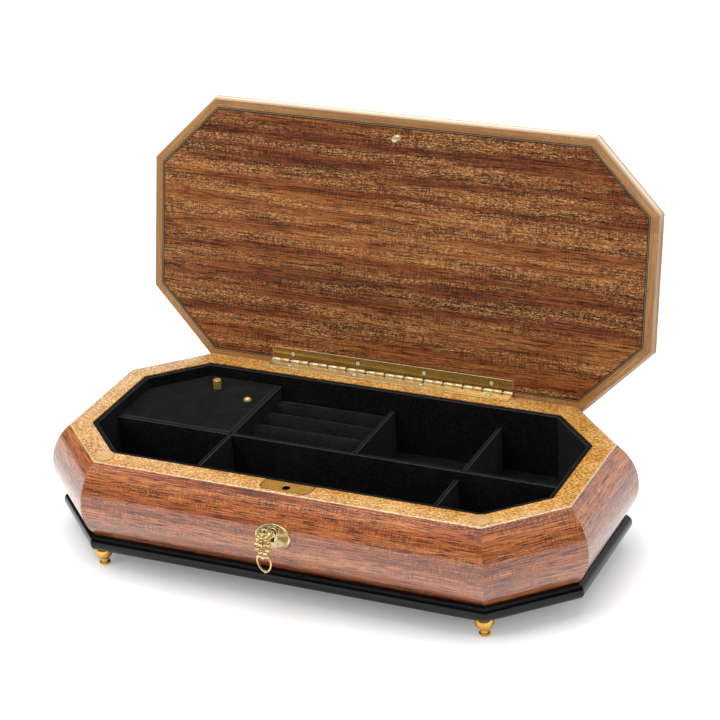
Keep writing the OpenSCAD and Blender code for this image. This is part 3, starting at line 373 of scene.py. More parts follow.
def pattern(tree, vector, sizes, detail=2.0, rough=0.5, distortion=0.0):
    """Noise whose grains have the given sizes, in the units of the vector that it follows."""
    place = add(tree, "Mapping", {"Vector": vector, "Scale": [1 / size for size in sizes]})
    return add(tree, "TexNoise", {"Vector": place, "Scale": 1.0, "Detail": detail, "Roughness": rough,
                                  "Distortion": distortion})


def veneer(name, stops, light, dark, ribbon_mm, streak_mm, marks, coat, rough, shine=0.5):
    """Figured wood: broad ribbons and thin streaks along the grain, dark pores, pale flecks across them.

    The marks are the strengths of the pores, of the pale flecks, and of the thin dark lines that cross
    the grain where the ribbons turn; the coat is its weight, IOR and roughness. Sizes are millimetres
    in the grain coordinate, and the third of each spreads the planks apart in the noise. Pores and
    flecks are drawn coarser than real ones, so that they show. Where the edge value is set the wood is
    paler: a painted highlight, as a polished arris catches the light.
    """
    material = bpy.data.materials.new(name)
    tree = clean_tree(material)
    grain = add(tree, "Attribute", attribute_name="grain").outputs["Vector"]
    edge_value = add(tree, "Attribute", attribute_name="edge").outputs["Fac"]
    pore, fleck, cross = marks

    ribbons = pattern(tree, grain, (420, ribbon_mm, 1), 2, 0.5, 0.3)
    streaks = pattern(tree, grain, (50, streak_mm, 1), 4, 0.75, 0.1)
    broad = add(tree, "MapRange", [ribbons, 0.38, 0.62, 0, 0.4])
    thin = add(tree, "MapRange", [streaks, 0.37, 0.63, 0, 0.6])
    tone = add(tree, "Math", [broad, thin], operation="ADD")
    colour = add(tree, "ValToRGB", [tone], stops)

    flecks = pattern(tree, grain, (1.7, 0.55, 0.5), 2, 0.7, 0.6)
    patches = pattern(tree, grain, (120, ribbon_mm * 0.5, 0.2), 2, 0.6)
    share = add(tree, "Math", [add(tree, "MapRange", [flecks, 0.5, 0.58, 0, fleck]),
                               add(tree, "MapRange", [patches, 0.42, 0.58, 0.15, 1])], operation="MULTIPLY")
    colour = add(tree, "Mix", {0: share, FIRST: colour, SECOND: light}, data_type="RGBA")

    lines = pattern(tree, grain, (0.85, 7, 1 / 3), 1, 0.5)
    turns = pattern(tree, grain, (70, ribbon_mm * 0.6, 1 / 9), 2, 0.5)
    share = add(tree, "Math", [add(tree, "MapRange", [lines, 0.48, 0.6, 0, cross]),
                               add(tree, "MapRange", [turns, 0.46, 0.58, 0.1, 1])], operation="MULTIPLY")
    colour = add(tree, "Mix", {0: share, FIRST: colour, SECOND: dark}, data_type="RGBA")

    pores = pattern(tree, grain, (14, 0.6, 1), 2, 0.65)
    share = add(tree, "MapRange", [pores, 0.52, 0.6, 0, pore])
    colour = add(tree, "Mix", {0: share, FIRST: colour, SECOND: dark}, data_type="RGBA")
    colour = add(tree, "Mix", {0: edge_value, FIRST: colour, SECOND: PAINTED_HIGHLIGHT_WOOD}, data_type="RGBA")
    relief = add(tree, "Bump", {"Height": pores, "Strength": 0.12, "Distance": 0.1 * MM})
    shader = add(tree, "BsdfPrincipled", {
        "Base Color": colour, "Roughness": rough, "Specular IOR Level": shine, "IOR": 1.5,
        "Coat Weight": coat[0], "Coat IOR": coat[1], "Coat Roughness": coat[2], "Normal": relief})
    add(tree, "OutputMaterial", [shader])
    return material


def brass(name, colour, tint, rough):
    """Polished brass: warm metal, a little of it lit like a matt skin by fine scratches and old lacquer.

    Noise of 5.6 mm drifts between two near tones. Scratches vary the roughness, drawn 0.6 mm coarse
    so that they show. An edge value above 0 makes the brass paler and more matt, as rubbed edges are, and
    on the hinge knuckles as a painted highlight; below 0 it is tarnished.
    """
    material = bpy.data.materials.new(name)
    tree = clean_tree(material)
    place = add(tree, "TexCoord").outputs["Object"]
    edge_value = add(tree, "Attribute", attribute_name="edge").outputs["Fac"]
    share = add(tree, "MapRange", [pattern(tree, place, [5.56 * MM] * 3, 3, 0.6), 0.35, 0.65])
    metal = add(tree, "Mix", {0: share, FIRST: colour, SECOND: tint}, data_type="RGBA")
    share = add(tree, "MapRange", [edge_value, 0, 1])
    metal = add(tree, "Mix", {0: share, FIRST: metal, SECOND: RUBBED_AND_HIGHLIGHT_BRASS}, data_type="RGBA")
    share = add(tree, "MapRange", [edge_value, -1, 0, 1, 0])
    metal = add(tree, "Mix", {0: share, FIRST: metal, SECOND: TARNISH}, data_type="RGBA")
    scratches = pattern(tree, place, [0.625 * MM] * 3, 2, 0.6)
    shader = add(tree, "BsdfPrincipled", {
        "Base Color": metal, "Metallic": add(tree, "MapRange", [edge_value, 0, 1, 0.8, 0.3]),
        "Roughness": add(tree, "MapRange", [scratches, 0.3, 0.7, rough * 0.7, rough * 1.4])})
    add(tree, "OutputMaterial", [shader])
    return material


def velvet(name, base, nap, worn_nap_sheen):
    """Cotton velvet: nearly no diffuse light, a soft sheen, and along edges paler worn nap, drawn as a
    painted sheen.

    Fibres are drawn 0.67 mm coarse so that they show, and brushed places measure 17 mm.
    """
    material = bpy.data.materials.new(name)
    tree = clean_tree(material)
    place = add(tree, "TexCoord").outputs["Object"]
    edge_value = add(tree, "Attribute", attribute_name="edge").outputs["Fac"]
    fibre = pattern(tree, place, [0.667 * MM] * 3, 3, 0.75)
    brushed = pattern(tree, place, [16.7 * MM] * 3, 3, 0.6)
    share = add(tree, "MapRange", [fibre, 0.44, 0.66, 0, 1])
    colour = add(tree, "Mix", {0: share, FIRST: base, SECOND: nap}, data_type="RGBA")
    share = add(tree, "MapRange", [brushed, 0.5, 0.8, 0, 0.5])
    colour = add(tree, "Mix", {0: share, FIRST: colour, SECOND: nap}, data_type="RGBA")
    # Along edges the nap turns pale: worn nap, drawn as a painted sheen
    share = add(tree, "Math", [edge_value, add(tree, "MapRange", [fibre, 0.3, 0.6, 0.25, 1])], operation="MULTIPLY")
    colour = add(tree, "Mix", {0: share, FIRST: colour, SECOND: worn_nap_sheen}, data_type="RGBA")
    relief = add(tree, "Bump", {"Height": fibre, "Strength": 0.5, "Distance": 0.3 * MM})
    shader = add(tree, "BsdfPrincipled", {
        "Base Color": colour, "Roughness": 0.95, "Specular IOR Level": 0.1, "Sheen Weight": 0.05,
        "Sheen Roughness": 0.4, "Normal": relief})
    add(tree, "OutputMaterial", [shader])
    return material


def speckled(name, stops, grit_mm, rough, coat):
    """Fine-grained wood seen on its end or as a burr: small mixed flecks, in clouds of 14 mm."""
    material = bpy.data.materials.new(name)
    tree = clean_tree(material)
    place = add(tree, "TexCoord").outputs["Object"]
    edge_value = add(tree, "Attribute", attribute_name="edge").outputs["Fac"]
    grit_m = grit_mm * MM
    grit = pattern(tree, place, (grit_m / 0.6, grit_m, grit_m), 3, 0.7, 0.4)
    cloud = pattern(tree, place, [14.3 * MM] * 3, 2, 0.5)
    tone = add(tree, "Math", [add(tree, "MapRange", [grit, 0.38, 0.62, 0, 0.8]),
                              add(tree, "MapRange", [cloud, 0.3, 0.7, 0, 0.2])], operation="ADD")
    colour = add(tree, "ValToRGB", [tone], stops)
    # Where the edge value is set the wood turns pale: a painted highlight on the rim's arris
    colour = add(tree, "Mix", {0: edge_value, FIRST: colour, SECOND: PAINTED_HIGHLIGHT_BURR}, data_type="RGBA")
    shader = add(tree, "BsdfPrincipled", {
        "Base Color": colour, "Roughness": rough, "Coat Weight": coat, "Coat Roughness": 0.08})
    add(tree, "OutputMaterial", [shader])
    return material


def plain_finish(name, first, second, cloud_mm, rough, metallic=0.0, coat=0.0, shine=0.5, line=None):
    """A quiet finish: clouds of two near tones and of roughness, and a line where the edge value is 1."""
    material = bpy.data.materials.new(name)
    tree = clean_tree(material)
    place = add(tree, "TexCoord").outputs["Object"]
    cloud = pattern(tree, place, [cloud_mm * MM] * 3, 3, 0.6)
    share = add(tree, "MapRange", [cloud, 0.35, 0.65])
    colour = add(tree, "Mix", {0: share, FIRST: first, SECOND: second}, data_type="RGBA")
    if line:
        edge_value = add(tree, "Attribute", attribute_name="edge").outputs["Fac"]
        colour = add(tree, "Mix", {0: edge_value, FIRST: colour, SECOND: line}, data_type="RGBA")
    shader = add(tree, "BsdfPrincipled", {
        "Base Color": colour, "Roughness": add(tree, "MapRange", [cloud, 0.3, 0.7, rough * 0.8, rough * 1.2]),
        "Metallic": metallic, "Specular IOR Level": shine, "Coat Weight": coat, "Coat Roughness": 0.04})
    add(tree, "OutputMaterial", [shader])
    return material


# Sapele under gloss lacquer on the curved sides: red-brown, streaked, mirror clear
side_veneer = veneer("sapele_veneer_gloss_lacquer",
                     [(0.08, "#5C200A"), (0.36, "#A44A1C"), (0.62, "#CC6A2E"), (0.92, "#E6964E")],
                     "#F8BC80", "#2A0C04", ribbon_mm=12, streak_mm=0.75, marks=(0.9, 0.5, 0.5),
                     coat=(1.0, 1.75, 0.03), rough=0.42)
# Satin sapele on the lid: ribbon stripe, crossed by short golden flecks
lid_veneer = veneer("ribbon_sapele_veneer_satin",
                    [(0.04, "#481A0A"), (0.36, "#7A381A"), (0.62, "#9C5428"), (0.94, "#BA763A")],
                    "#F2BE78", "#1E0804", ribbon_mm=15, streak_mm=1.0, marks=(0.75, 0.8, 0.5),
                    coat=(0.1, 1.5, 0.3), rough=0.55, shine=0.2)
# Golden burr on the flat rim: speckles about a millimetre across under a thin lacquer
rim_wood = speckled("golden_burr_rim",
                    [(0.08, "#8E5210"), (0.36, "#C2822E"), (0.6, "#DEA44E"), (0.9, "#F4D08C")],
                    grit_mm=1.0, rough=0.35, coat=0.6)
# Lacquered maple edging of the lid: pale tan with short fine grain
edging_wood = veneer("maple_edging_lacquer",
                     [(0.1, "#92602C"), (0.4, "#A87238"), (0.7, "#BA844A"), (0.95, "#CE9C62")],
                     "#E0B070", "#7A4818", ribbon_mm=9, streak_mm=0.8, marks=(0.4, 0.4, 0.1),
                     coat=(0.3, 1.5, 0.12), rough=0.4)
# Blackened steel of the lock's case, and painted shade deep in the keyhole and the socket: matt, nearly no
# light comes back
blackened_and_shade = plain_finish("blackened_steel_and_painted_shade", "#050505", "#0A0A09", 1.43, 0.7)
# Ebony string with a box-wood line in its middle: a dark frame with a pale thread
string_wood = plain_finish("ebony_and_box_string_line", "#100E0C", "#1E1B17", 1.11, 0.4, line="#B8A078")
# Piano lacquer on the plinth: deep black with soft reflections
black_lacquer = plain_finish("black_piano_lacquer", "#040404", "#0A0A0A", 16.7, 0.12, coat=0.2, shine=0.2)
# Brass of four kinds: turned and polished, rolled for the hinge, cast and gilt, and lacquered
polished_brass = brass("polished_brass", "#F4C468", "#E4A648", 0.12)
bright_brass = brass("bright_rolled_brass", "#F2E0B0", "#E8CC8C", 0.24)
gilt = brass("gilt_casting", "#F4E2AE", "#E6C47C", 0.18)
lock_brass = brass("lacquered_lock_brass", "#FAC858", "#E8AC40", 0.2)
# Ground steel: grey metal with a soft shine
steel = plain_finish("bright_steel", "#B8B8BA", "#A4A4A6", 1.11, 0.28, metallic=1.0)
# Cotton velvet glued to board: black, with dark grey nap where it is brushed, and a paler painted sheen on
# worn edges
black_velvet = velvet("black_velvet", "#060606", "#262626", "#444446")
# Bare plywood of the hidden boards: dull tan flecks
board = speckled("bare_plywood", [(0.2, "#A98252"), (0.5, "#BE9764"), (0.8, "#CDAA7A")], 1.6, 0.7, 0.0)
# Clear soft plastic of the bumpers: it takes the colour of the wood under it
bumper_rubber = plain_finish("clear_soft_bumper", "#DCAE72", "#D0A062", 3.33, 0.35, coat=0.3)

# ------------------------------------------------------------------ case
# The back wall steps in under the swinging lid: room below the lid's edge, and a gap to the hinge axis
REBATE_ROOM, REBATE_GAP = 1.3, 0.3
REBATE_Z = HINGE_Z - (LID[1] / 2 - HINGE_Y) - LID_SWELL - REBATE_ROOM
REBATE_OUT = HINGE_Y - REBATE_GAP - RIM_W / 2
REBATE_TOP = SIDE_Z + math.sqrt(SIDE_R ** 2 - (REBATE_OUT + SIDE_R - BULGE) ** 2)
WALLS = ["wall_front", "wall_front_right", "wall_right", "wall_back_right",
         "wall_back", "wall_back_left", "wall_left", "wall_front_left"]
FRONT, BACK = 0, 4

# Lock: its place, the stud of the lid and the socket for it, the mortise for the lock's case, and how
# far a cutter passes the top
LOCK_Y, STRIKE_R = -RIM_W / 2 + 6.3, 2.05
SOCKET_R = STRIKE_R + 0.4
MORTISE_X, MORTISE_HALF, MORTISE_DEEP = 15.05, 3.75, 26.05
CUT_OVER = 1.0


def wall_section(i):
    """Curved outside from the plinth to the rim, with the step for the lid on the back."""
    points = [(0, float(side_out(z)), z) for z in np.linspace(WALL_Z, CASE_H - RIM_T, 26)]
    if i == BACK:
        low = [p for p in points if p[2] < REBATE_Z]
        high = [p for p in points if p[2] > REBATE_TOP]
        step = [(0, float(side_out(REBATE_Z)), REBATE_Z), (0, REBATE_OUT, REBATE_Z),
                (0, REBATE_OUT, REBATE_TOP)]
        points = low + step + high
    return points + [(1, 0.0, CASE_H - RIM_T), (1, 0.0, WALL_Z)]


def rim_section(i):
    """Flat top whose outer edge falls away as a chamfer, crowned by half a sine wave and painted pale as a
    highlight.
    """
    chamfer_w, crown, ease = 0.98, 0.07, 0.12
    low_z = CASE_H - RIM_T
    t = np.linspace(0, 1, 6)
    out = side_out(low_z) - chamfer_w * t
    z = low_z + RIM_T * t + crown * np.sin(np.pi * t)
    # Edge values along the chamfer paint a pale line on the arris: a painted highlight
    points = [(0, *point) for point in zip(out, z, (0, 0.2, 0.55, 0.3, 0, 0))]
    return points + [(1, ease, CASE_H), (1, 0.0, CASE_H - ease), (1, 0.0, low_z)]


def plinth_section(i):
    """A board with both outer edges rounded to a bullnose."""
    r = PLINTH_ROUND
    low = arc((-r, FOOT_H + r), r, -90, 0, 9)
    high = arc((-r, WALL_Z - r), r, 0, 90, 9)
    return [(0, PLINTH_IN, FOOT_H), *((0, *p) for p in np.vstack([low, high])), (0, PLINTH_IN, WALL_Z)]


for number, wall in enumerate(WALLS):
    shape = moulding(wall_section, (RIM, OPENING), [number])
    veneered = finish_piece(wall + "_veneered", shape, side_veneer, "case", [wall])
    if number == FRONT:
        mortise = rectangle(-MORTISE_X, LOCK_Y - MORTISE_HALF, MORTISE_X, LOCK_Y + MORTISE_HALF)
        cut_away(veneered, plate(Part(), mortise, CASE_H - MORTISE_DEEP, CASE_H + CUT_OVER, 0, 0))

rim = finish_piece("rim_burr", moulding(rim_section, (RIM, OPENING)), rim_wood, "case", ["rim"])
bore_r = SOCKET_R + 0.02
bore = [(0, CASE_H - 2), (bore_r, CASE_H - 2), (bore_r, CASE_H + CUT_OVER), (0, CASE_H + CUT_OVER)]
cut_away(rim, turned(Part(), bore, (0, LOCK_Y, 0)))

finish_piece("plinth_lacquered", moulding(plinth_section, (PLINTH,)), black_lacquer, "case", ["plinth"])

# ------------------------------------------------------------------ feet
FOOT_R, FOOT_BORE = 5.6, 1.62
FOOT_RING = 0.61 * FOOT_R
FOOT_X, FOOT_Y = RIM_L / 2 - RIM_CORNER, RIM_W / 2 + PLINTH_OUT - FOOT_R - 2.4
ring_half = 0.1 * FOOT_H
bowl_z = FOOT_H - 0.4 * FOOT_R
# From the recess of the screw: a ring foot, a waist, and a bowl that is part of a ball
foot_profile = np.vstack([
    [(FOOT_BORE, 1.1), (FOOT_BORE, 0.05), (FOOT_BORE + 0.1, 0.0)],
    arc((FOOT_RING - ring_half, ring_half), ring_half, -90, 80, 13),
    [(2.75, 0.225 * FOOT_H), (2.66, 0.26 * FOOT_H), (2.7, 0.32 * FOOT_H)],
    [(FOOT_R * math.sin(t), bowl_z - FOOT_R * math.cos(t)) for t in np.linspace(0.53, 1.98, 18)],
    [(FOOT_BORE, FOOT_H), (FOOT_BORE, 1.1)]])
feet = Part()
for sx in (-1, 1):
    for sy in (-1, 1):
        turned(feet, foot_profile, (sx * FOOT_X, sy * FOOT_Y, 0))
finish_piece("feet_turned", feet, polished_brass, "case", ["feet"])

# ------------------------------------------------------------------ inside
PANEL_Z, FLOOR_Z = WALL_Z + 4.0, WALL_Z + 6.0
HIGH_Z, LOW_Z = CASE_H - 7.5, CASE_H - 13.0
DIVIDER_T, LONG_Y, BAY_X, RING_X, RIGHT_X = 2.8, -7.0, -68.0, 8.8, 79.0


def lining_ring():
    """The lining as one band round the opening; the nap of its inner top edge is worn and drawn paler, a
    painted sheen.

    Its section is (outline, outwards, height, edge value).
    """
    top, r = CASE_H - LINING_DROP, 0.45
    section = [(OPENING, -0.02, PANEL_Z, 0), (OPENING, -0.02, top - r, 0), (OPENING, -0.2, top - 0.1, 0.2),
               (OPENING, -r, top, 0), (INNER, r + 0.2, top, 0), (INNER, r, top, 0.5),
               (INNER, 0.12, top - 0.12, 1.0), (INNER, 0.0, top - r, 0.5), (INNER, 0.0, top - r - 0.2, 0),
               (INNER, 0.0, PANEL_Z, 0)]
    rings = np.stack([at_height(octagon(*outline, out=o), z) for outline, o, z, _ in section], 1)
    return loft(Part(), rings, wrap=True, edge=np.tile([edge_value for *_, edge_value in section], (8, 1)))


def board_in_velvet(x0, y0, z0, x1, y1, z1):
    """A board with every edge rounded, as cloth over board has."""
    soft, steps = 0.7, 5
    outline = filleted(rectangle(x0, y0, x1, y1), [soft] * 4, steps)
    # The rounds carry edge values, so the velvet shows its painted sheen along every edge
    return plate(Part(), outline, z0, z1, soft, soft, steps)


finish_piece("wall_lining_velvet", lining_ring(), black_velvet, "case", ["wall_lining"])

half_t, end_gap = DIVIDER_T / 2, 0.3
back_y, right_end = INNER[1] / 2 - end_gap, INNER[0] / 2 - end_gap
long_back = LONG_Y + half_t
dividers = {
    "divider_long": (-right_end, LONG_Y - half_t, FLOOR_Z, right_end, long_back, HIGH_Z),
    "divider_bay": (BAY_X - half_t, -back_y, FLOOR_Z, BAY_X + half_t, back_y, HIGH_Z),
    "divider_ring": (RING_X - half_t, long_back, FLOOR_Z, RING_X + half_t, back_y, LOW_Z),
    "divider_right": (RIGHT_X - half_t, -back_y, FLOOR_Z, RIGHT_X + half_t, back_y, LOW_Z)}
for name, place in dividers.items():
    finish_piece(name + "_velvet", board_in_velvet(*place), black_velvet, "case", [name])

cover_gap, cover_t = 0.3, 2.5
bay = octagon(*INNER, out=-cover_gap)
cover_right, cover_front = BAY_X - half_t - cover_gap, long_back + cover_gap
cover_outline = [(bay[7][0], cover_front), (cover_right, cover_front), (cover_right, bay[5][1]),
                 bay[5], bay[6]]
# Its rounded edges take the velvet's painted sheen
cover_shape = plate(Part(), filleted(cover_outline, [1.0] * 5), HIGH_Z - cover_t, HIGH_Z, 0.6, 0.2)
finish_piece("movement_cover_velvet", cover_shape, black_velvet, "case", ["movement_cover"])

# Ring rolls: flocked foam, pushed together
ROLL_D, ROLL_TOP, ROLL_COUNT, ROLL_GAP = 16.4, CASE_H - 14.0, 4, 0.3
roll_pitch = (INNER[1] / 2 - long_back) / ROLL_COUNT
roll_x0, roll_x1 = BAY_X + half_t + ROLL_GAP, RING_X - half_t - ROLL_GAP
roll_z = ROLL_TOP - ROLL_D / 2


def roll_shape(y, z):
    """A foam roll: a circle carried along X whose ends round off.

    Near an end the radius is less, by the end's round minus the root of: the round squared, minus
    the square of the round less the distance to the end.
    """
    skin, end_r, straight = 0.35, 3, 5
    t = circle(56)
    ease = end_r * (1 - np.cos(np.linspace(0, np.pi / 2, 6)))
    x = np.r_[roll_x0 + ease, np.linspace(roll_x0 + straight, roll_x1 - straight, 24), roll_x1 - ease[::-1]]
    close = np.minimum(x - roll_x0, roll_x1 - x)
    round_off = end_r - np.sqrt(np.clip(end_r ** 2 - (end_r - close) ** 2, 0, None))
    r = (ROLL_D / 2 - skin - np.where(close < end_r, round_off, 0))[:, None]
    return np.stack([x[:, None] + 0 * t, y + r * np.cos(t), z + r * np.sin(t)], -1)


def puff(piece, low, high):
    """Inflates a foam roll with a cloth simulation, and applies the result.

    No point moves more than 0.8 mm, or out of the box between low and high.
    """
    steps, pressure, most = 12, 4, 0.8 * MM
    remesh = piece.modifiers.new("remesh", "REMESH")
    remesh.mode = "VOXEL"
    remesh.voxel_size = 1.6 * MM
    bpy.context.view_layer.objects.active = piece
    bpy.ops.object.modifier_apply(modifier=remesh.name)
    cloth = piece.modifiers.new("cloth", "CLOTH")
    cloth.settings.use_pressure = True
    cloth.settings.uniform_pressure_force = pressure
    cloth.settings.effector_weights.gravity = 0
    cloth.settings.quality = 5
    rest = np.empty(len(piece.data.vertices) * 3)
    piece.data.vertices.foreach_get("co", rest)
    for step in range(1, steps + 1):
        bpy.context.scene.frame_set(step)
    swollen = np.empty_like(rest)
    shown = piece.evaluated_get(bpy.context.evaluated_depsgraph_get())
    shown.data.vertices.foreach_get("co", swollen)
    piece.modifiers.remove(cloth)
    bpy.context.scene.frame_set(1)
    rest, swollen = rest.reshape(-1, 3), swollen.reshape(-1, 3)
    move = swollen - rest
    size = np.linalg.norm(move, axis=1, keepdims=True)
    kept = rest + move * np.minimum(1, most / np.maximum(size, 1e-9))
    kept = np.clip(kept, np.array(low) * MM, np.array(high) * MM)
    piece.data.vertices.foreach_set("co", kept.ravel())
    smooth = piece.modifiers.new("smooth", "SUBSURF")
    smooth.levels = smooth.render_levels = 1
    bpy.ops.object.modifier_apply(modifier=smooth.name)
    piece.data.polygons.foreach_set("use_smooth", [True] * len(piece.data.polygons))


for k in range(ROLL_COUNT):
    name = f"ring_roll_{k + 1}"
    roll_y = long_back + (k + 0.5) * roll_pitch
    shape = loft(Part(), roll_shape(roll_y, roll_z))
    roll = finish_piece(name + "_foam", shape, black_velvet, "case", [name], 60)
    reach = ROLL_D / 2
    puff(roll, (roll_x0, roll_y - reach, roll_z - reach), (roll_x1, roll_y + reach, roll_z + reach))

# Start knob: its button and rod, and inside the case the arm with the brake pad over the fly
KNOB_X, KNOB_Y, KNOB_R, KNOB_H, ROD_R = BAY_X - 36.0, 46.0, 2.6, 5.8, 1.5
PAD_X, PAD_Y, PAD_R, ARM_T, ARM_HALF = -132.4, 35.3, 1.6, 1.2, 0.8
ARM_Z = HIGH_Z - cover_t - 1.95 - ARM_T
rod_z, knob_top, groove_r = PANEL_Z + 3.1, HIGH_Z + KNOB_H, KNOB_R - 0.15
knob_profile = [(0, rod_z), (ROD_R - 0.1, rod_z), (ROD_R, rod_z + 0.1), (ROD_R, HIGH_Z - 3),
                (KNOB_R - 0.1, HIGH_Z - 3), (KNOB_R, HIGH_Z - 2.9), (KNOB_R, HIGH_Z + 0.5),
                (groove_r, HIGH_Z + 0.6), (groove_r, HIGH_Z + 0.8), (KNOB_R, HIGH_Z + 0.9),
                (KNOB_R, knob_top - 0.5), (KNOB_R - 0.07, knob_top - 0.25), (KNOB_R - 0.25, knob_top - 0.07),
                (KNOB_R - 0.5, knob_top), (1.1, knob_top), (0.5, knob_top - 0.1), (0, knob_top - 0.12)]
knob = turned(Part(), knob_profile, (KNOB_X, KNOB_Y, 0), edge_value=0.2)
start = np.array([KNOB_X, KNOB_Y])
reach = np.array([PAD_X, PAD_Y]) - start
side = np.array([-reach[1], reach[0]]) / np.linalg.norm(reach) * ARM_HALF
arm = [start - side, start + reach - side, start + reach + side, start + side]
plate(knob, arm, ARM_Z, ARM_Z + ARM_T, 0.15, 0.15)
pad_profile = [(0, 0), (PAD_R - 0.1, 0), (PAD_R, 0.1), (PAD_R, ARM_T - 0.1), (PAD_R - 0.1, ARM_T), (0, ARM_T)]
turned(knob, pad_profile, (PAD_X, PAD_Y, ARM_Z), segments=32)
finish_piece("start_knob_turned", knob, lock_brass, "knob", ["start_knob"])

DOME_X, DOME_Y, DOME_R, DOME_H = BAY_X - 10.2, 36.0, 2.6, 2.2
quarter = np.linspace(0, math.pi / 2, 14)
dome_profile = np.vstack([[(0, HIGH_Z - 0.5), (DOME_R, HIGH_Z - 0.5)],
                          np.stack([DOME_R * np.cos(quarter), HIGH_Z + DOME_H * np.sin(quarter)], -1)])
dome = turned(Part(), dome_profile, (DOME_X, DOME_Y, 0), edge_value=0.3)
finish_piece("cover_screw_dome", dome, polished_brass, "case", ["cover_screw"])

# Bumpers: low cushions under the front corners of the closed lid
BUMPER_R = 6.0
BUMPER_X, BUMPER_Y = RIM_L / 2 - RIM_CORNER - 2.8, RIM_W / 2 - 7.4
cushion = [(0, 0), (BUMPER_R - 0.1, 0), (BUMPER_R, 0.15), (BUMPER_R - 0.2, 0.45), (BUMPER_R * 0.7, 0.95),
           (BUMPER_R * 0.35, 1.3), (0, 1.4)]
bumpers = Part()
for sx in (-1, 1):
    turned(bumpers, cushion, (sx * BUMPER_X, -BUMPER_Y, CASE_H))
finish_piece("bumpers_soft", bumpers, bumper_rubber, "case", ["bumpers"])

# ------------------------------------------------------------------ lid
string_out, string_in = -EDGING_W + STRING_W / 2, -EDGING_W - STRING_W / 2


def edging_section(i):
    """Solid edging whose outside swells between the faces of the lid as one arc.

    The arc's radius is a quarter of the thickness squared plus the swell squared, over twice the swell.
    A bell round one point of it paints it pale as a highlight, most on the front and front right lengths.
    """
    steps = 19
    radius = (LID_T ** 2 / 4 + LID_SWELL ** 2) / (2 * LID_SWELL)
    reach = math.degrees(math.asin(LID_T / 2 / radius))
    points = arc((LID_SWELL - radius, LID_Z + LID_T / 2), radius, -reach, reach, steps)
    most, middle, width = (0.95, 5, 3.2) if i in (0, 1) else (0.35, 3, 2)
    # Painted highlight along the swell of the edging
    edge_value = most * bell(np.arange(steps), middle, width)
    swell = [(0, out, z, w) for (out, z), w in zip(points, edge_value)]
    return [(0, string_out, LID_Z), *swell, (0, string_out, LID_TOP)]


def string_line(z_in, z_face):
    """One inlaid line as a flat band between two outlines of the lid, pale in its middle.

    Its rings go from the wood side up to the face, across it by shares of the width, and back down.
    """
    outer, inner = octagon(*LID, out=string_out), octagon(*LID, out=string_in)
    shares = (0, 0, 0.3, 0.45, 0.6, 1, 1)
    heights = (z_in, *[z_face] * 5, z_in)
    rings = np.stack([at_height(outer + (inner - outer) * k, z) for k, z in zip(shares, heights)], 1)
    return rings, np.tile((0, 0, 0, 1, 0, 0, 0), (8, 1))


edging = moulding(edging_section, (LID,)).moved(lid_pose)
finish_piece("lid_edging_maple", edging, edging_wood, "lid", ["lid_edging"])

string = Part()
for z_in, z_face in ((LID_Z + VENEER_T, LID_Z), (LID_TOP - VENEER_T, LID_TOP)):
    line_rings, line_edge = string_line(z_in, z_face)
    loft(string, line_rings, wrap=True, edge=line_edge)
finish_piece("lid_string_inlay", string.moved(lid_pose), string_wood, "lid", ["lid_string"])

for name, z0 in (("lid_inner_veneer", LID_Z), ("lid_top_veneer", LID_TOP - VENEER_T)):
    sheet = plate(Part(), octagon(*LID, out=string_in), z0, z0 + VENEER_T, 0, 0).moved(lid_pose)
    finish_piece(name + "_ribbon", sheet, lid_veneer, "lid", [name])

# ------------------------------------------------------------------ hinge
PAIR_L = 2 * KNUCKLE_L + KNUCKLE_SEAM + PAIR_GAP
HINGE_L = PAIRS * PAIR_L + KNUCKLE_L
SCREW_PITCH = 0.275 * HINGE_L
SCREW_X = [k * SCREW_PITCH for k in (-1.5, -0.5, 0.5, 1.5)]
SCREW_Y = HINGE_Y - BARREL_R - (LEAF_W - BARREL_R) / 2


def knuckle(part, x):
    """A rolled knuckle, turned from a profile with eased ends, and the tab that joins it to the leaf."""
    r, ease, length = BARREL_R, 0.2, KNUCKLE_L
    profile = [(0, 0), (r - ease, 0), (r - 0.05, 0.08), (r, ease), (r, length - ease),
               (r - 0.05, length - 0.08), (r - ease, length), (0, length)]
    # The whole knuckle is paler and more matt than the leaf: a painted highlight for its shine
    turned(part, profile, (x, HINGE_Y, HINGE_Z), "x", 32, 0.45)
    tab = rectangle(x + 0.1, HINGE_Y - BARREL_R - 0.6, x + length - 0.1, HINGE_Y - 0.3)
    plate(part, tab, CASE_H, CASE_H + LEAF_T, 0.1, 0)


def leaf(odd):
    """One leaf of the hinge with every second knuckle, drawn on the case side."""
    part = Part()
    back, front, x1 = HINGE_Y - BARREL_R - 0.3, HINGE_Y - LEAF_W, HINGE_L / 2
    outline = filleted(rectangle(-x1, front, x1, back), [1.5, 1.5, 0.1, 0.1])
    plate(part, outline, CASE_H, CASE_H + LEAF_T, 0.22, 0)
    for k in range(odd, 2 * PAIRS + 1, 2):
        knuckle(part, -x1 + (k // 2) * PAIR_L + (k % 2) * (KNUCKLE_L + KNUCKLE_SEAM))
    return part


def screws():
    """Countersunk screw heads seated in the leaf, tarnished round a rubbed middle."""
    part = Part()
    head = [(0, -0.4), (1.75, -0.2), (1.8, 0), (1.5, 0.02), (1.35, 0.03), (0, 0.04)]
    for x in SCREW_X:
        turned(part, head, (x, SCREW_Y, CASE_H + LEAF_T), segments=28, edge_value=(-1, -1, -1, -0.8, 0.9, 0.9))
    return part


def over_axis(points):
    """Mirrors a case-side hinge piece to the lid side, and opens it."""
    return lid_pose(np.stack([points[:, 0], points[:, 1], 2 * HINGE_Z - points[:, 2]], -1))


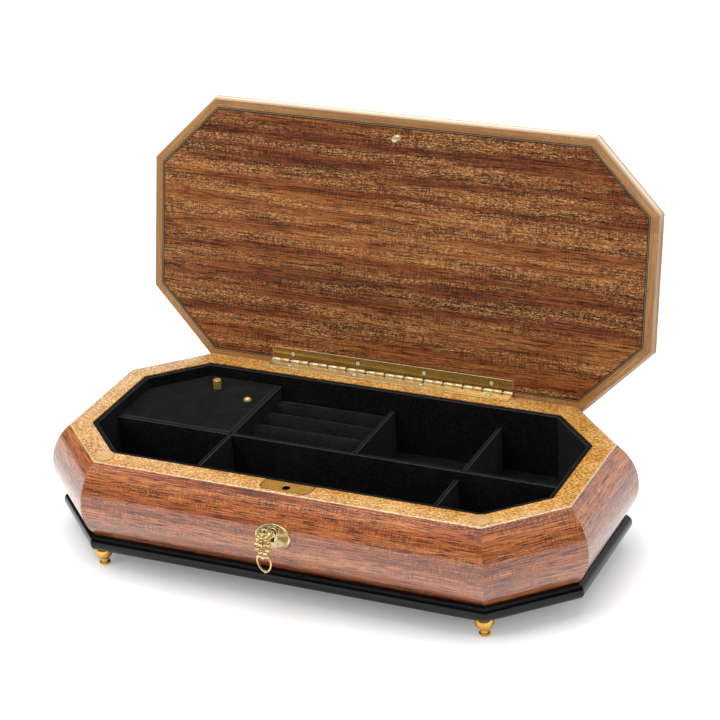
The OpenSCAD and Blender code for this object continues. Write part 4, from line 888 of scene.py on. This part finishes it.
finish_piece("hinge_body_leaf_brass", leaf(0), bright_brass, "case", ["hinge_body_leaf"])
finish_piece("hinge_lid_leaf_brass", leaf(1).moved(over_axis), polished_brass, "lid", ["hinge_lid_leaf"])
finish_piece("hinge_body_screw_heads", screws(), gilt, "case", ["hinge_body_screws"])
finish_piece("hinge_lid_screw_heads", screws().moved(over_axis), gilt, "lid", ["hinge_lid_screws"])

# ------------------------------------------------------------------ lock
LOCK_W, PLATE_T, PLATE_LIFT = 31.5, 0.8, 0.05
lock_front, lock_back = -RIM_W / 2 + 2.2, -OPENING_W / 2 - 0.4


def holed_plate(outline, centre, hole, z0, z1):
    """A flat plate about a round hole: rings blend from the outline to the hole, seen from its centre.

    At each angle the outline is where the ray from the centre meets a side, found by crossing the ray
    with every side and keeping the nearest hit.
    """
    p = outline - centre
    d = np.roll(p, -1, 0) - p
    t = np.unique(np.r_[np.linspace(-np.pi, np.pi, 96, endpoint=False), np.arctan2(p[:, 1], p[:, 0])])
    c, s = np.cos(t)[:, None], np.sin(t)[:, None]
    with np.errstate(divide="ignore", invalid="ignore"):
        cross = c * d[:, 1] - s * d[:, 0]
        far = (p[:, 0] * d[:, 1] - p[:, 1] * d[:, 0]) / cross
        along = (p[:, 0] * s - p[:, 1] * c) / cross
    hit = (far > 0) & (along > -1e-6) & (along < 1 + 1e-6)
    reach = np.where(hit, far, np.inf).min(1)
    inner = np.full(len(t), hole)
    stack = [(reach, z0), (reach, z1 - 0.1), (reach - 0.12, z1), (inner + 0.15, z1), (inner, z1 - 0.15),
             (inner, z0)]
    ray = np.hstack([c, s])
    rings = np.stack([at_height(centre + ray * r[:, None], z) for r, z in stack], 1)
    return loft(Part(), rings, wrap=True, edge=np.full(rings.shape[:2], 0.12))


lock_outline = filleted([(-LOCK_W / 2, lock_back), (-LOCK_W / 2, lock_front), (LOCK_W / 2, lock_front),
                         (LOCK_W / 2, lock_back)], [0.3, 4.0, 4.0, 0.3], 9)
lock_plate = holed_plate(lock_outline, np.array([0, LOCK_Y]), SOCKET_R, CASE_H - PLATE_T, CASE_H + PLATE_LIFT)
finish_piece("lock_plate_brass", lock_plate, lock_brass, "case", ["lock_plate"])

# Dark seam between the plate and the rim, from just inside the plate's outline to just outside it
seam_section = ((0.05, -0.3), (0.05, 0.02), (-0.4, 0.02), (-0.4, -0.3))
seam = np.stack([at_height(inset(lock_outline, d), CASE_H + z) for d, z in seam_section], 1)
finish_piece("lock_plate_seam", loft(Part(), seam, wrap=True), blackened_and_shade, "case")

# Painted shade inside the socket, as a dark open ring that leaves the way free for the stud
throat_r, throat_z = np.array([(-0.01, -1.35), (-0.01, -0.2), (-0.08, -0.2), (-0.08, -1.35)]).T
t = circle(48)[:, None]
throat = np.stack([(SOCKET_R + throat_r) * np.cos(t), LOCK_Y + (SOCKET_R + throat_r) * np.sin(t),
                   CASE_H + throat_z + 0 * t], -1)
finish_piece("lock_socket_painted_shade", loft(Part(), throat, wrap=True), blackened_and_shade, "case")

STRIKE_OUT, NECK_R = 6.5, 1.35
strike_profile = [(0, 0), (1.5, 0), (1.95, 0.3), (STRIKE_R, 0.7), (STRIKE_R, 1.3), (NECK_R + 0.05, 1.7),
                  (NECK_R, 3.4), (STRIKE_R - 0.1, 3.9), (STRIKE_R, 5.6), (STRIKE_R, STRIKE_OUT + 2),
                  (0, STRIKE_OUT + 2)]
strike = turned(Part(), strike_profile, (0, LOCK_Y, LID_Z - STRIKE_OUT), edge_value=0.45).moved(lid_pose)
finish_piece("lock_strike_turned", strike, gilt, "lid", ["lock_strike"])

# ------------------------------------------------------------------ escutcheon and key
KEY_X, KEY_Z = -1.2, CASE_H - 19.5
ESC_W, ESC_H, ESC_Z = 22.6, 14.8, KEY_Z - 2.5
HOLE_R, SLOT_HALF, SLOT_LOW, HOLE_MID = 2.1, 1.1, 5.5, KEY_Z - 1.9
face_y = -(RIM_W / 2 + float(side_out(KEY_Z)))


def keyhole_reach(t):
    """Distance from the keyhole's middle to its outline: the farther of the round and the slot."""
    across, up = np.cos(t), np.sin(t)
    drop = HOLE_MID - KEY_Z
    to_round = -drop * up + np.sqrt(np.maximum((drop * up) ** 2 - drop ** 2 + HOLE_R ** 2, 0))
    to_side = SLOT_HALF / np.maximum(np.abs(across), 1e-6)
    to_end = (SLOT_LOW + drop) / np.maximum(-up, 1e-6)
    return np.maximum(to_round, np.where(up < 0, np.minimum(to_side, to_end), 0))


def on_case(x, z, height):
    """Points over the curved front, at places to the right of the key and at heights above its skin."""
    return np.stack([KEY_X + x, -(RIM_W / 2 + side_out(z) + height), z], -1)


def escutcheon():
    """A stamped oval: a beaded rim, an engraved leafy half, a smooth dished half and a lip at the keyhole.

    Rings run from the keyhole (share 0) to the edge (share 1), an ellipse whose distance from the
    middle of the keyhole is the larger root of its quadratic. The height above the case adds a bell for
    the rim bead, a cosine rope inside it, scrolls that are products of cosines of the angle and the
    ring, and a raised lip round the hole; the dish is a shallow bowl. A logistic step divides the
    halves. Low places are tarnished and high ones rubbed.
    """
    t = circle(180)
    drop = ESC_Z - HOLE_MID
    across, up = np.cos(t), np.sin(t)
    square = (2 * across / ESC_W) ** 2 + (2 * up / ESC_H) ** 2
    line = up * drop * (2 / ESC_H) ** 2
    outer = (line + np.sqrt(line ** 2 - square * ((2 * drop / ESC_H) ** 2 - 1))) / square
    inner = keyhole_reach(t) + 0.1
    s = np.linspace(0, 1, 44)[:, None]
    r = inner + (outer - inner) * s
    x, z = r * across, HOLE_MID + r * up

    engraved = 1 / (1 + np.exp(2 * (x - 0.8 * (z - ESC_Z) - 1.0)))
    bead = 0.38 * bell(s, 0.93, 0.045)
    rope = 0.14 * bell(s, 0.8, 0.045) * (1 + np.cos(40 * t))
    scroll = np.cos(7 * t + 6 * s) * np.cos(4 * t - 11 * s) + 0.6 * np.cos(13 * t + 9 * s) * np.cos(15 * s)
    leaves = 0.2 * bell(s, 0.5, 0.22) * (1 + scroll)
    dish = 0.3 * (2 * s - 1) ** 2
    lip = 0.45 * bell(s, 0.07, 0.08)
    floor, tallest, rim_share, rim_height = 0.3, 1.08, 0.985, 0.06
    height = floor + bead + lip + engraved * (rope + leaves) + (1 - engraved) * dish
    height = np.where(s > rim_share, rim_height, np.minimum(height, tallest))
    height[0] = floor

    shade = np.clip((height - 0.52) / 0.22, -1, 1) * (0.3 + 0.6 * engraved)
    shade[0] = -1
    face, back = on_case(x, z, height), on_case(x, z, 0)
    rings = np.concatenate([face, back[-1:], back[:1]])
    return loft(Part(), rings, wrap=True, edge=np.concatenate([shade, shade[-1:], shade[:1]]))


def keyhole_painted_shade():
    """Painted shade for the keyhole in the case: a thin dark skin on the curve of the side.

    Its outline is the keyhole's reach and 0.2 mm, and a ring at half of that fills its middle.
    """
    t = circle(72)
    r = np.array([1.0, 0.5])[:, None] * (keyhole_reach(t) + 0.2)
    x, z = r * np.cos(t), HOLE_MID + r * np.sin(t)
    return loft(Part(), np.concatenate([on_case(x[:1], z[:1], -0.3), on_case(x, z, 0.06)]))


finish_piece("escutcheon_stamped", escutcheon(), gilt, "case", ["escutcheon", "escutcheon_pins"], 60)
finish_piece("keyhole_painted_shade", keyhole_painted_shade(), blackened_and_shade, "case")

EYE_Y, BIT_H = face_y - 13.5, 5.0


def bead(part, x, y, z, radius, stretch=1.0):
    """A small ball at a place from the key's axis, or a drop when it is stretched along Z."""
    t = np.linspace(0, np.pi, 13)
    profile = np.stack([radius * np.sin(t), -radius * stretch * np.cos(t)], -1)
    turned(part, profile, (KEY_X + x, EYE_Y + y, KEY_Z + z), segments=20)


def wire_loop(part, points, radius):
    """A round wire carried along a closed path in the XZ plane.

    At each point of the path a circle lies across it: cosine times the path's side, sine times Y.
    """
    ahead = np.roll(points, -1, 0) - np.roll(points, 1, 0)
    ahead /= np.linalg.norm(ahead, axis=1, keepdims=True)
    side = np.stack([-ahead[:, 2], 0 * ahead[:, 0], ahead[:, 0]], -1)
    t = circle(12)[None, :, None]
    offset = side[:, None] * np.cos(t) + np.array([0, 1.0, 0]) * np.sin(t)
    return loft(part, points[:, None] + radius * offset, wrap=True)


# Shank: from its tip in the lock outwards, with a collar, a ball, a waist and the eye for the bow
shank_in = face_y - (LOCK_Y + 1.6)
ball_r, ball_mid, neck = 2.2, 4.8, 0.82
ball_turns = np.linspace(neck, math.pi - neck, 15)
ball = [(ball_r * math.sin(v), ball_mid - ball_r * math.cos(v)) for v in ball_turns]
shank_profile = [(0, shank_in), (1.4, shank_in), (1.6, shank_in + 0.2), (1.6, 1.7), (2.2, 1.8), (2.4, 2.0),
                 (2.4, 2.6), (2.2, 2.8), (1.6, 2.9), *ball, (1.6, 7.0), (1.9, 7.3), (2.0, 7.8), (1.9, 8.3),
                 (1.6, 8.6), (1.6, 11.2), (0, 11.2)]
eye_profile = [(0, -0.8), (2.1, -0.8), (2.4, -0.55), (2.4, 0.55), (2.1, 0.8), (0, 0.8)]
bit = rectangle(KEY_X - 0.8, LOCK_Y - 1.4, KEY_X + 0.8, LOCK_Y + 1.4)
shank = turned(Part(), shank_profile, (KEY_X, face_y, KEY_Z), "-y", 40)
turned(shank, eye_profile, (KEY_X, EYE_Y, KEY_Z), "x", 32)
plate(shank, bit, KEY_Z - BIT_H, KEY_Z, 0.1, 0.1)
finish_piece("key_shank_turned", shank, gilt, "key", ["key_shank"])

# Bow: a cheek and a row of balls on each side of the eye, a cap, a drop, and a wire loop below
CHEEK_X, LOOP_TOP, LOOP_LOW, LOOP_HALF, WIRE_R = 1.8, -5.6, -18.4, 4.55, 0.5
cheek_profile = [(0, -0.7), (1.6, -0.7), (1.8, -0.5), (1.8, 0.5), (1.6, 0.7), (0, 0.7)]
bow = Part()
for sx in (-1, 1):
    for x, z, r in ((2.4, 3.2, 1.6), (3.5, 0.2, 1.75), (3.3, -3.2, 1.7), (1.6, -5.6, 1.6), (2.4, -8.0, 1.5)):
        bead(bow, sx * x, 0, z, r)
    turned(bow, cheek_profile, (KEY_X + sx * CHEEK_X, EYE_Y, KEY_Z), "x", 24)
bead(bow, 0, 0, 4.2, 1.5)
bead(bow, 0, -0.2, -8.4, 1.6, stretch=1.15)
t = circle(96)
depth = (1 - np.cos(t)) / 2
loop_x = LOOP_HALF * np.sin(t) * (1 - 0.25 * depth ** 2) + 0.9 * depth - 0.3
loop_z = LOOP_TOP + (LOOP_LOW - LOOP_TOP) * depth ** 0.9
wire_loop(bow, np.stack([KEY_X + loop_x, np.full(len(t), EYE_Y), KEY_Z + loop_z], -1), WIRE_R)
bead(bow, 0.6, 0, -18.3, 0.8, stretch=1.1)
finish_piece("key_bow_beaded", bow, gilt, "bow", ["key_bow"])

# ------------------------------------------------------------------ pieces that stay as the frame has them
FINISHES = {
    board: ["bottom_panel", "cover_posts", "lid_board"],
    black_velvet: ["floor_pad", "ring_base"],
    blackened_and_shade: ["lock_case"],
    polished_brass: ["winding_key", "spring_barrel", "pinned_cylinder", "governor_wheel"],
    bright_brass: ["bedplate", "governor_frame", "comb_screws"],
    steel: ["foot_screws", "hinge_pin", "lock_bolt", "movement_screws", "comb", "winding_arbor",
            "ratchet_click", "fly", "mainspring"]}
for material, names in FINISHES.items():
    for name in names:
        cad_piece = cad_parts[name]
        cad_piece.data.materials.clear()
        cad_piece.data.materials.append(material)


# ------------------------------------------------------------------ floor, light and camera
def stage_material():
    """White card that keeps its shadow close to the box and turns pure white farther out.

    The card also glows, by smooth steps of the distance in metres from an oval's middle: to the camera
    a little near the box and more farther out, and in reflections in a band round the box, the product
    of a step up and a step down.
    """
    material = bpy.data.materials.new("white_card")
    tree = clean_tree(material)
    path = add(tree, "LightPath")
    place = add(tree, "Mapping", {"Vector": add(tree, "TexCoord").outputs["Object"], "Scale": (0.62, 1, 1)})
    away = add(tree, "VectorMath", [place], operation="LENGTH").outputs["Value"]
    smooth = {"interpolation_type": "SMOOTHSTEP"}
    lift = add(tree, "MapRange", [away, 0.085, 0.17, 0.2, 0.7], **smooth)
    near = add(tree, "MapRange", [away, 0.1, 0.12, 0.0, 0.4], **smooth)
    far = add(tree, "MapRange", [away, 0.13, 0.18, 1.0, 0.3], **smooth)
    band = add(tree, "Math", [near, far], operation="MULTIPLY")
    shown = add(tree, "Math", [path.outputs["Is Camera Ray"], lift], operation="MULTIPLY")
    mirrored = add(tree, "Math", [path.outputs["Is Glossy Ray"], band], operation="MULTIPLY")
    strength = add(tree, "Math", [shown, mirrored], operation="ADD")
    card = add(tree, "BsdfDiffuse", {"Color": (0.9, 0.9, 0.9, 1)})
    glow = add(tree, "Emission", {"Color": (1, 1, 1, 1), "Strength": strength})
    add(tree, "OutputMaterial", [add(tree, "AddShader", [card, glow])])
    return material


def studio_world():
    """White to the camera and soft grey as light, and a made-up room to polished surfaces.

    The room is dark; its upper part is grey and carries a ring of light, and a white backdrop stands
    behind the box. Each is a smooth step of one part of the ray's direction.
    """
    world = bpy.data.worlds.new("studio")
    bpy.context.scene.world = world
    tree = clean_tree(world)
    path = add(tree, "LightPath")
    ray = add(tree, "SeparateXYZ", [add(tree, "TexCoord").outputs["Generated"]])
    up, back = ray.outputs["Z"], ray.outputs["Y"]
    smooth = {"interpolation_type": "SMOOTHSTEP"}
    upper = add(tree, "MapRange", [up, 0.45, 0.65, 0.06, 0.5], **smooth)
    inside = add(tree, "MapRange", [up, 0.86, 0.91, 0.0, 2.2], **smooth)
    outside = add(tree, "MapRange", [up, 0.94, 0.985, 1.0, 0.1], **smooth)
    ring = add(tree, "Math", [inside, outside], operation="MULTIPLY")
    ceiling = add(tree, "Math", [upper, ring], operation="ADD")
    backdrop = add(tree, "MapRange", [back, 0.5, 0.75, 0.0, 0.85], **smooth)
    seen = add(tree, "Math", [ceiling, backdrop], operation="ADD")
    room = add(tree, "Background", {"Color": (1, 1, 1, 1), "Strength": 0.42})
    mirror = add(tree, "Background", {"Color": (1, 1, 1, 1), "Strength": seen})
    white = add(tree, "Background", {"Color": (1, 1, 1, 1), "Strength": 1.0})
    glossy = add(tree, "MixShader", [path.outputs["Is Glossy Ray"], room, mirror])
    shown = add(tree, "MixShader", [path.outputs["Is Camera Ray"], glossy, white])
    add(tree, "OutputWorld", [shown])


def softbox(name, place, target, size, power):
    """A rectangular lamp that faces a point and isn't seen in reflections."""
    lamp = bpy.data.lights.new(name, "AREA")
    lamp.shape = "RECTANGLE"
    lamp.size, lamp.size_y = size
    lamp.energy = power
    box = put(name, lamp)
    box.visible_glossy = False
    box.location = place
    box.rotation_euler = (Vector(target) - Vector(place)).to_track_quat("-Z", "Y").to_euler()


floor_mesh = bpy.data.meshes.new("floor")
half_floor = 6.0
floor_corners = at_height(rectangle(-half_floor, -half_floor, half_floor, half_floor), 0)
floor_mesh.from_pydata(floor_corners.tolist(), [], [(0, 1, 2, 3)])
floor_mesh.materials.append(stage_material())
floor = put("floor", floor_mesh)

studio_world()
softbox("overhead", (-0.1, 0.1, 1.5), (0, 0, 0), (1.6, 1.2), 17)
softbox("front_left", (-1.1, -1.3, 1.3), (0, 0, 0.08), (0.8, 0.8), 9)
softbox("right", (1.5, -0.2, 0.9), (0, 0, 0.08), (0.5, 0.9), 3)

# The camera stands off the front right, turned a little about its own axis
CAMERA_AT = (589.46, -1192.44, 756.27)
CAMERA_TURN, CAMERA_RISE, CAMERA_ROLL = (math.radians(v) for v in (25.62, 25.70, -3.41))
LENS, SENSOR = 126.29, 36.0


def camera():
    """Axes of the view: back along the sight line, then across and up, rolled about it."""
    flat = math.cos(CAMERA_RISE)
    back = np.array([math.sin(CAMERA_TURN) * flat, -math.cos(CAMERA_TURN) * flat, math.sin(CAMERA_RISE)])
    across = np.array([math.cos(CAMERA_TURN), math.sin(CAMERA_TURN), 0])
    up = np.cross(back, across)
    c, s = math.cos(CAMERA_ROLL), math.sin(CAMERA_ROLL)
    axes = Matrix([across * c + up * s, -across * s + up * c, back]).transposed().to_4x4()
    data = bpy.data.cameras.new("camera")
    data.lens, data.sensor_width = LENS, SENSOR
    data.clip_end = 20
    made = put("camera", data)
    made.matrix_world = Matrix.Translation(Vector(CAMERA_AT) * MM) @ axes
    bpy.context.scene.camera = made


camera()
bpy.context.scene.view_settings.view_transform = "Standard"

bpy.context.view_layer.update()
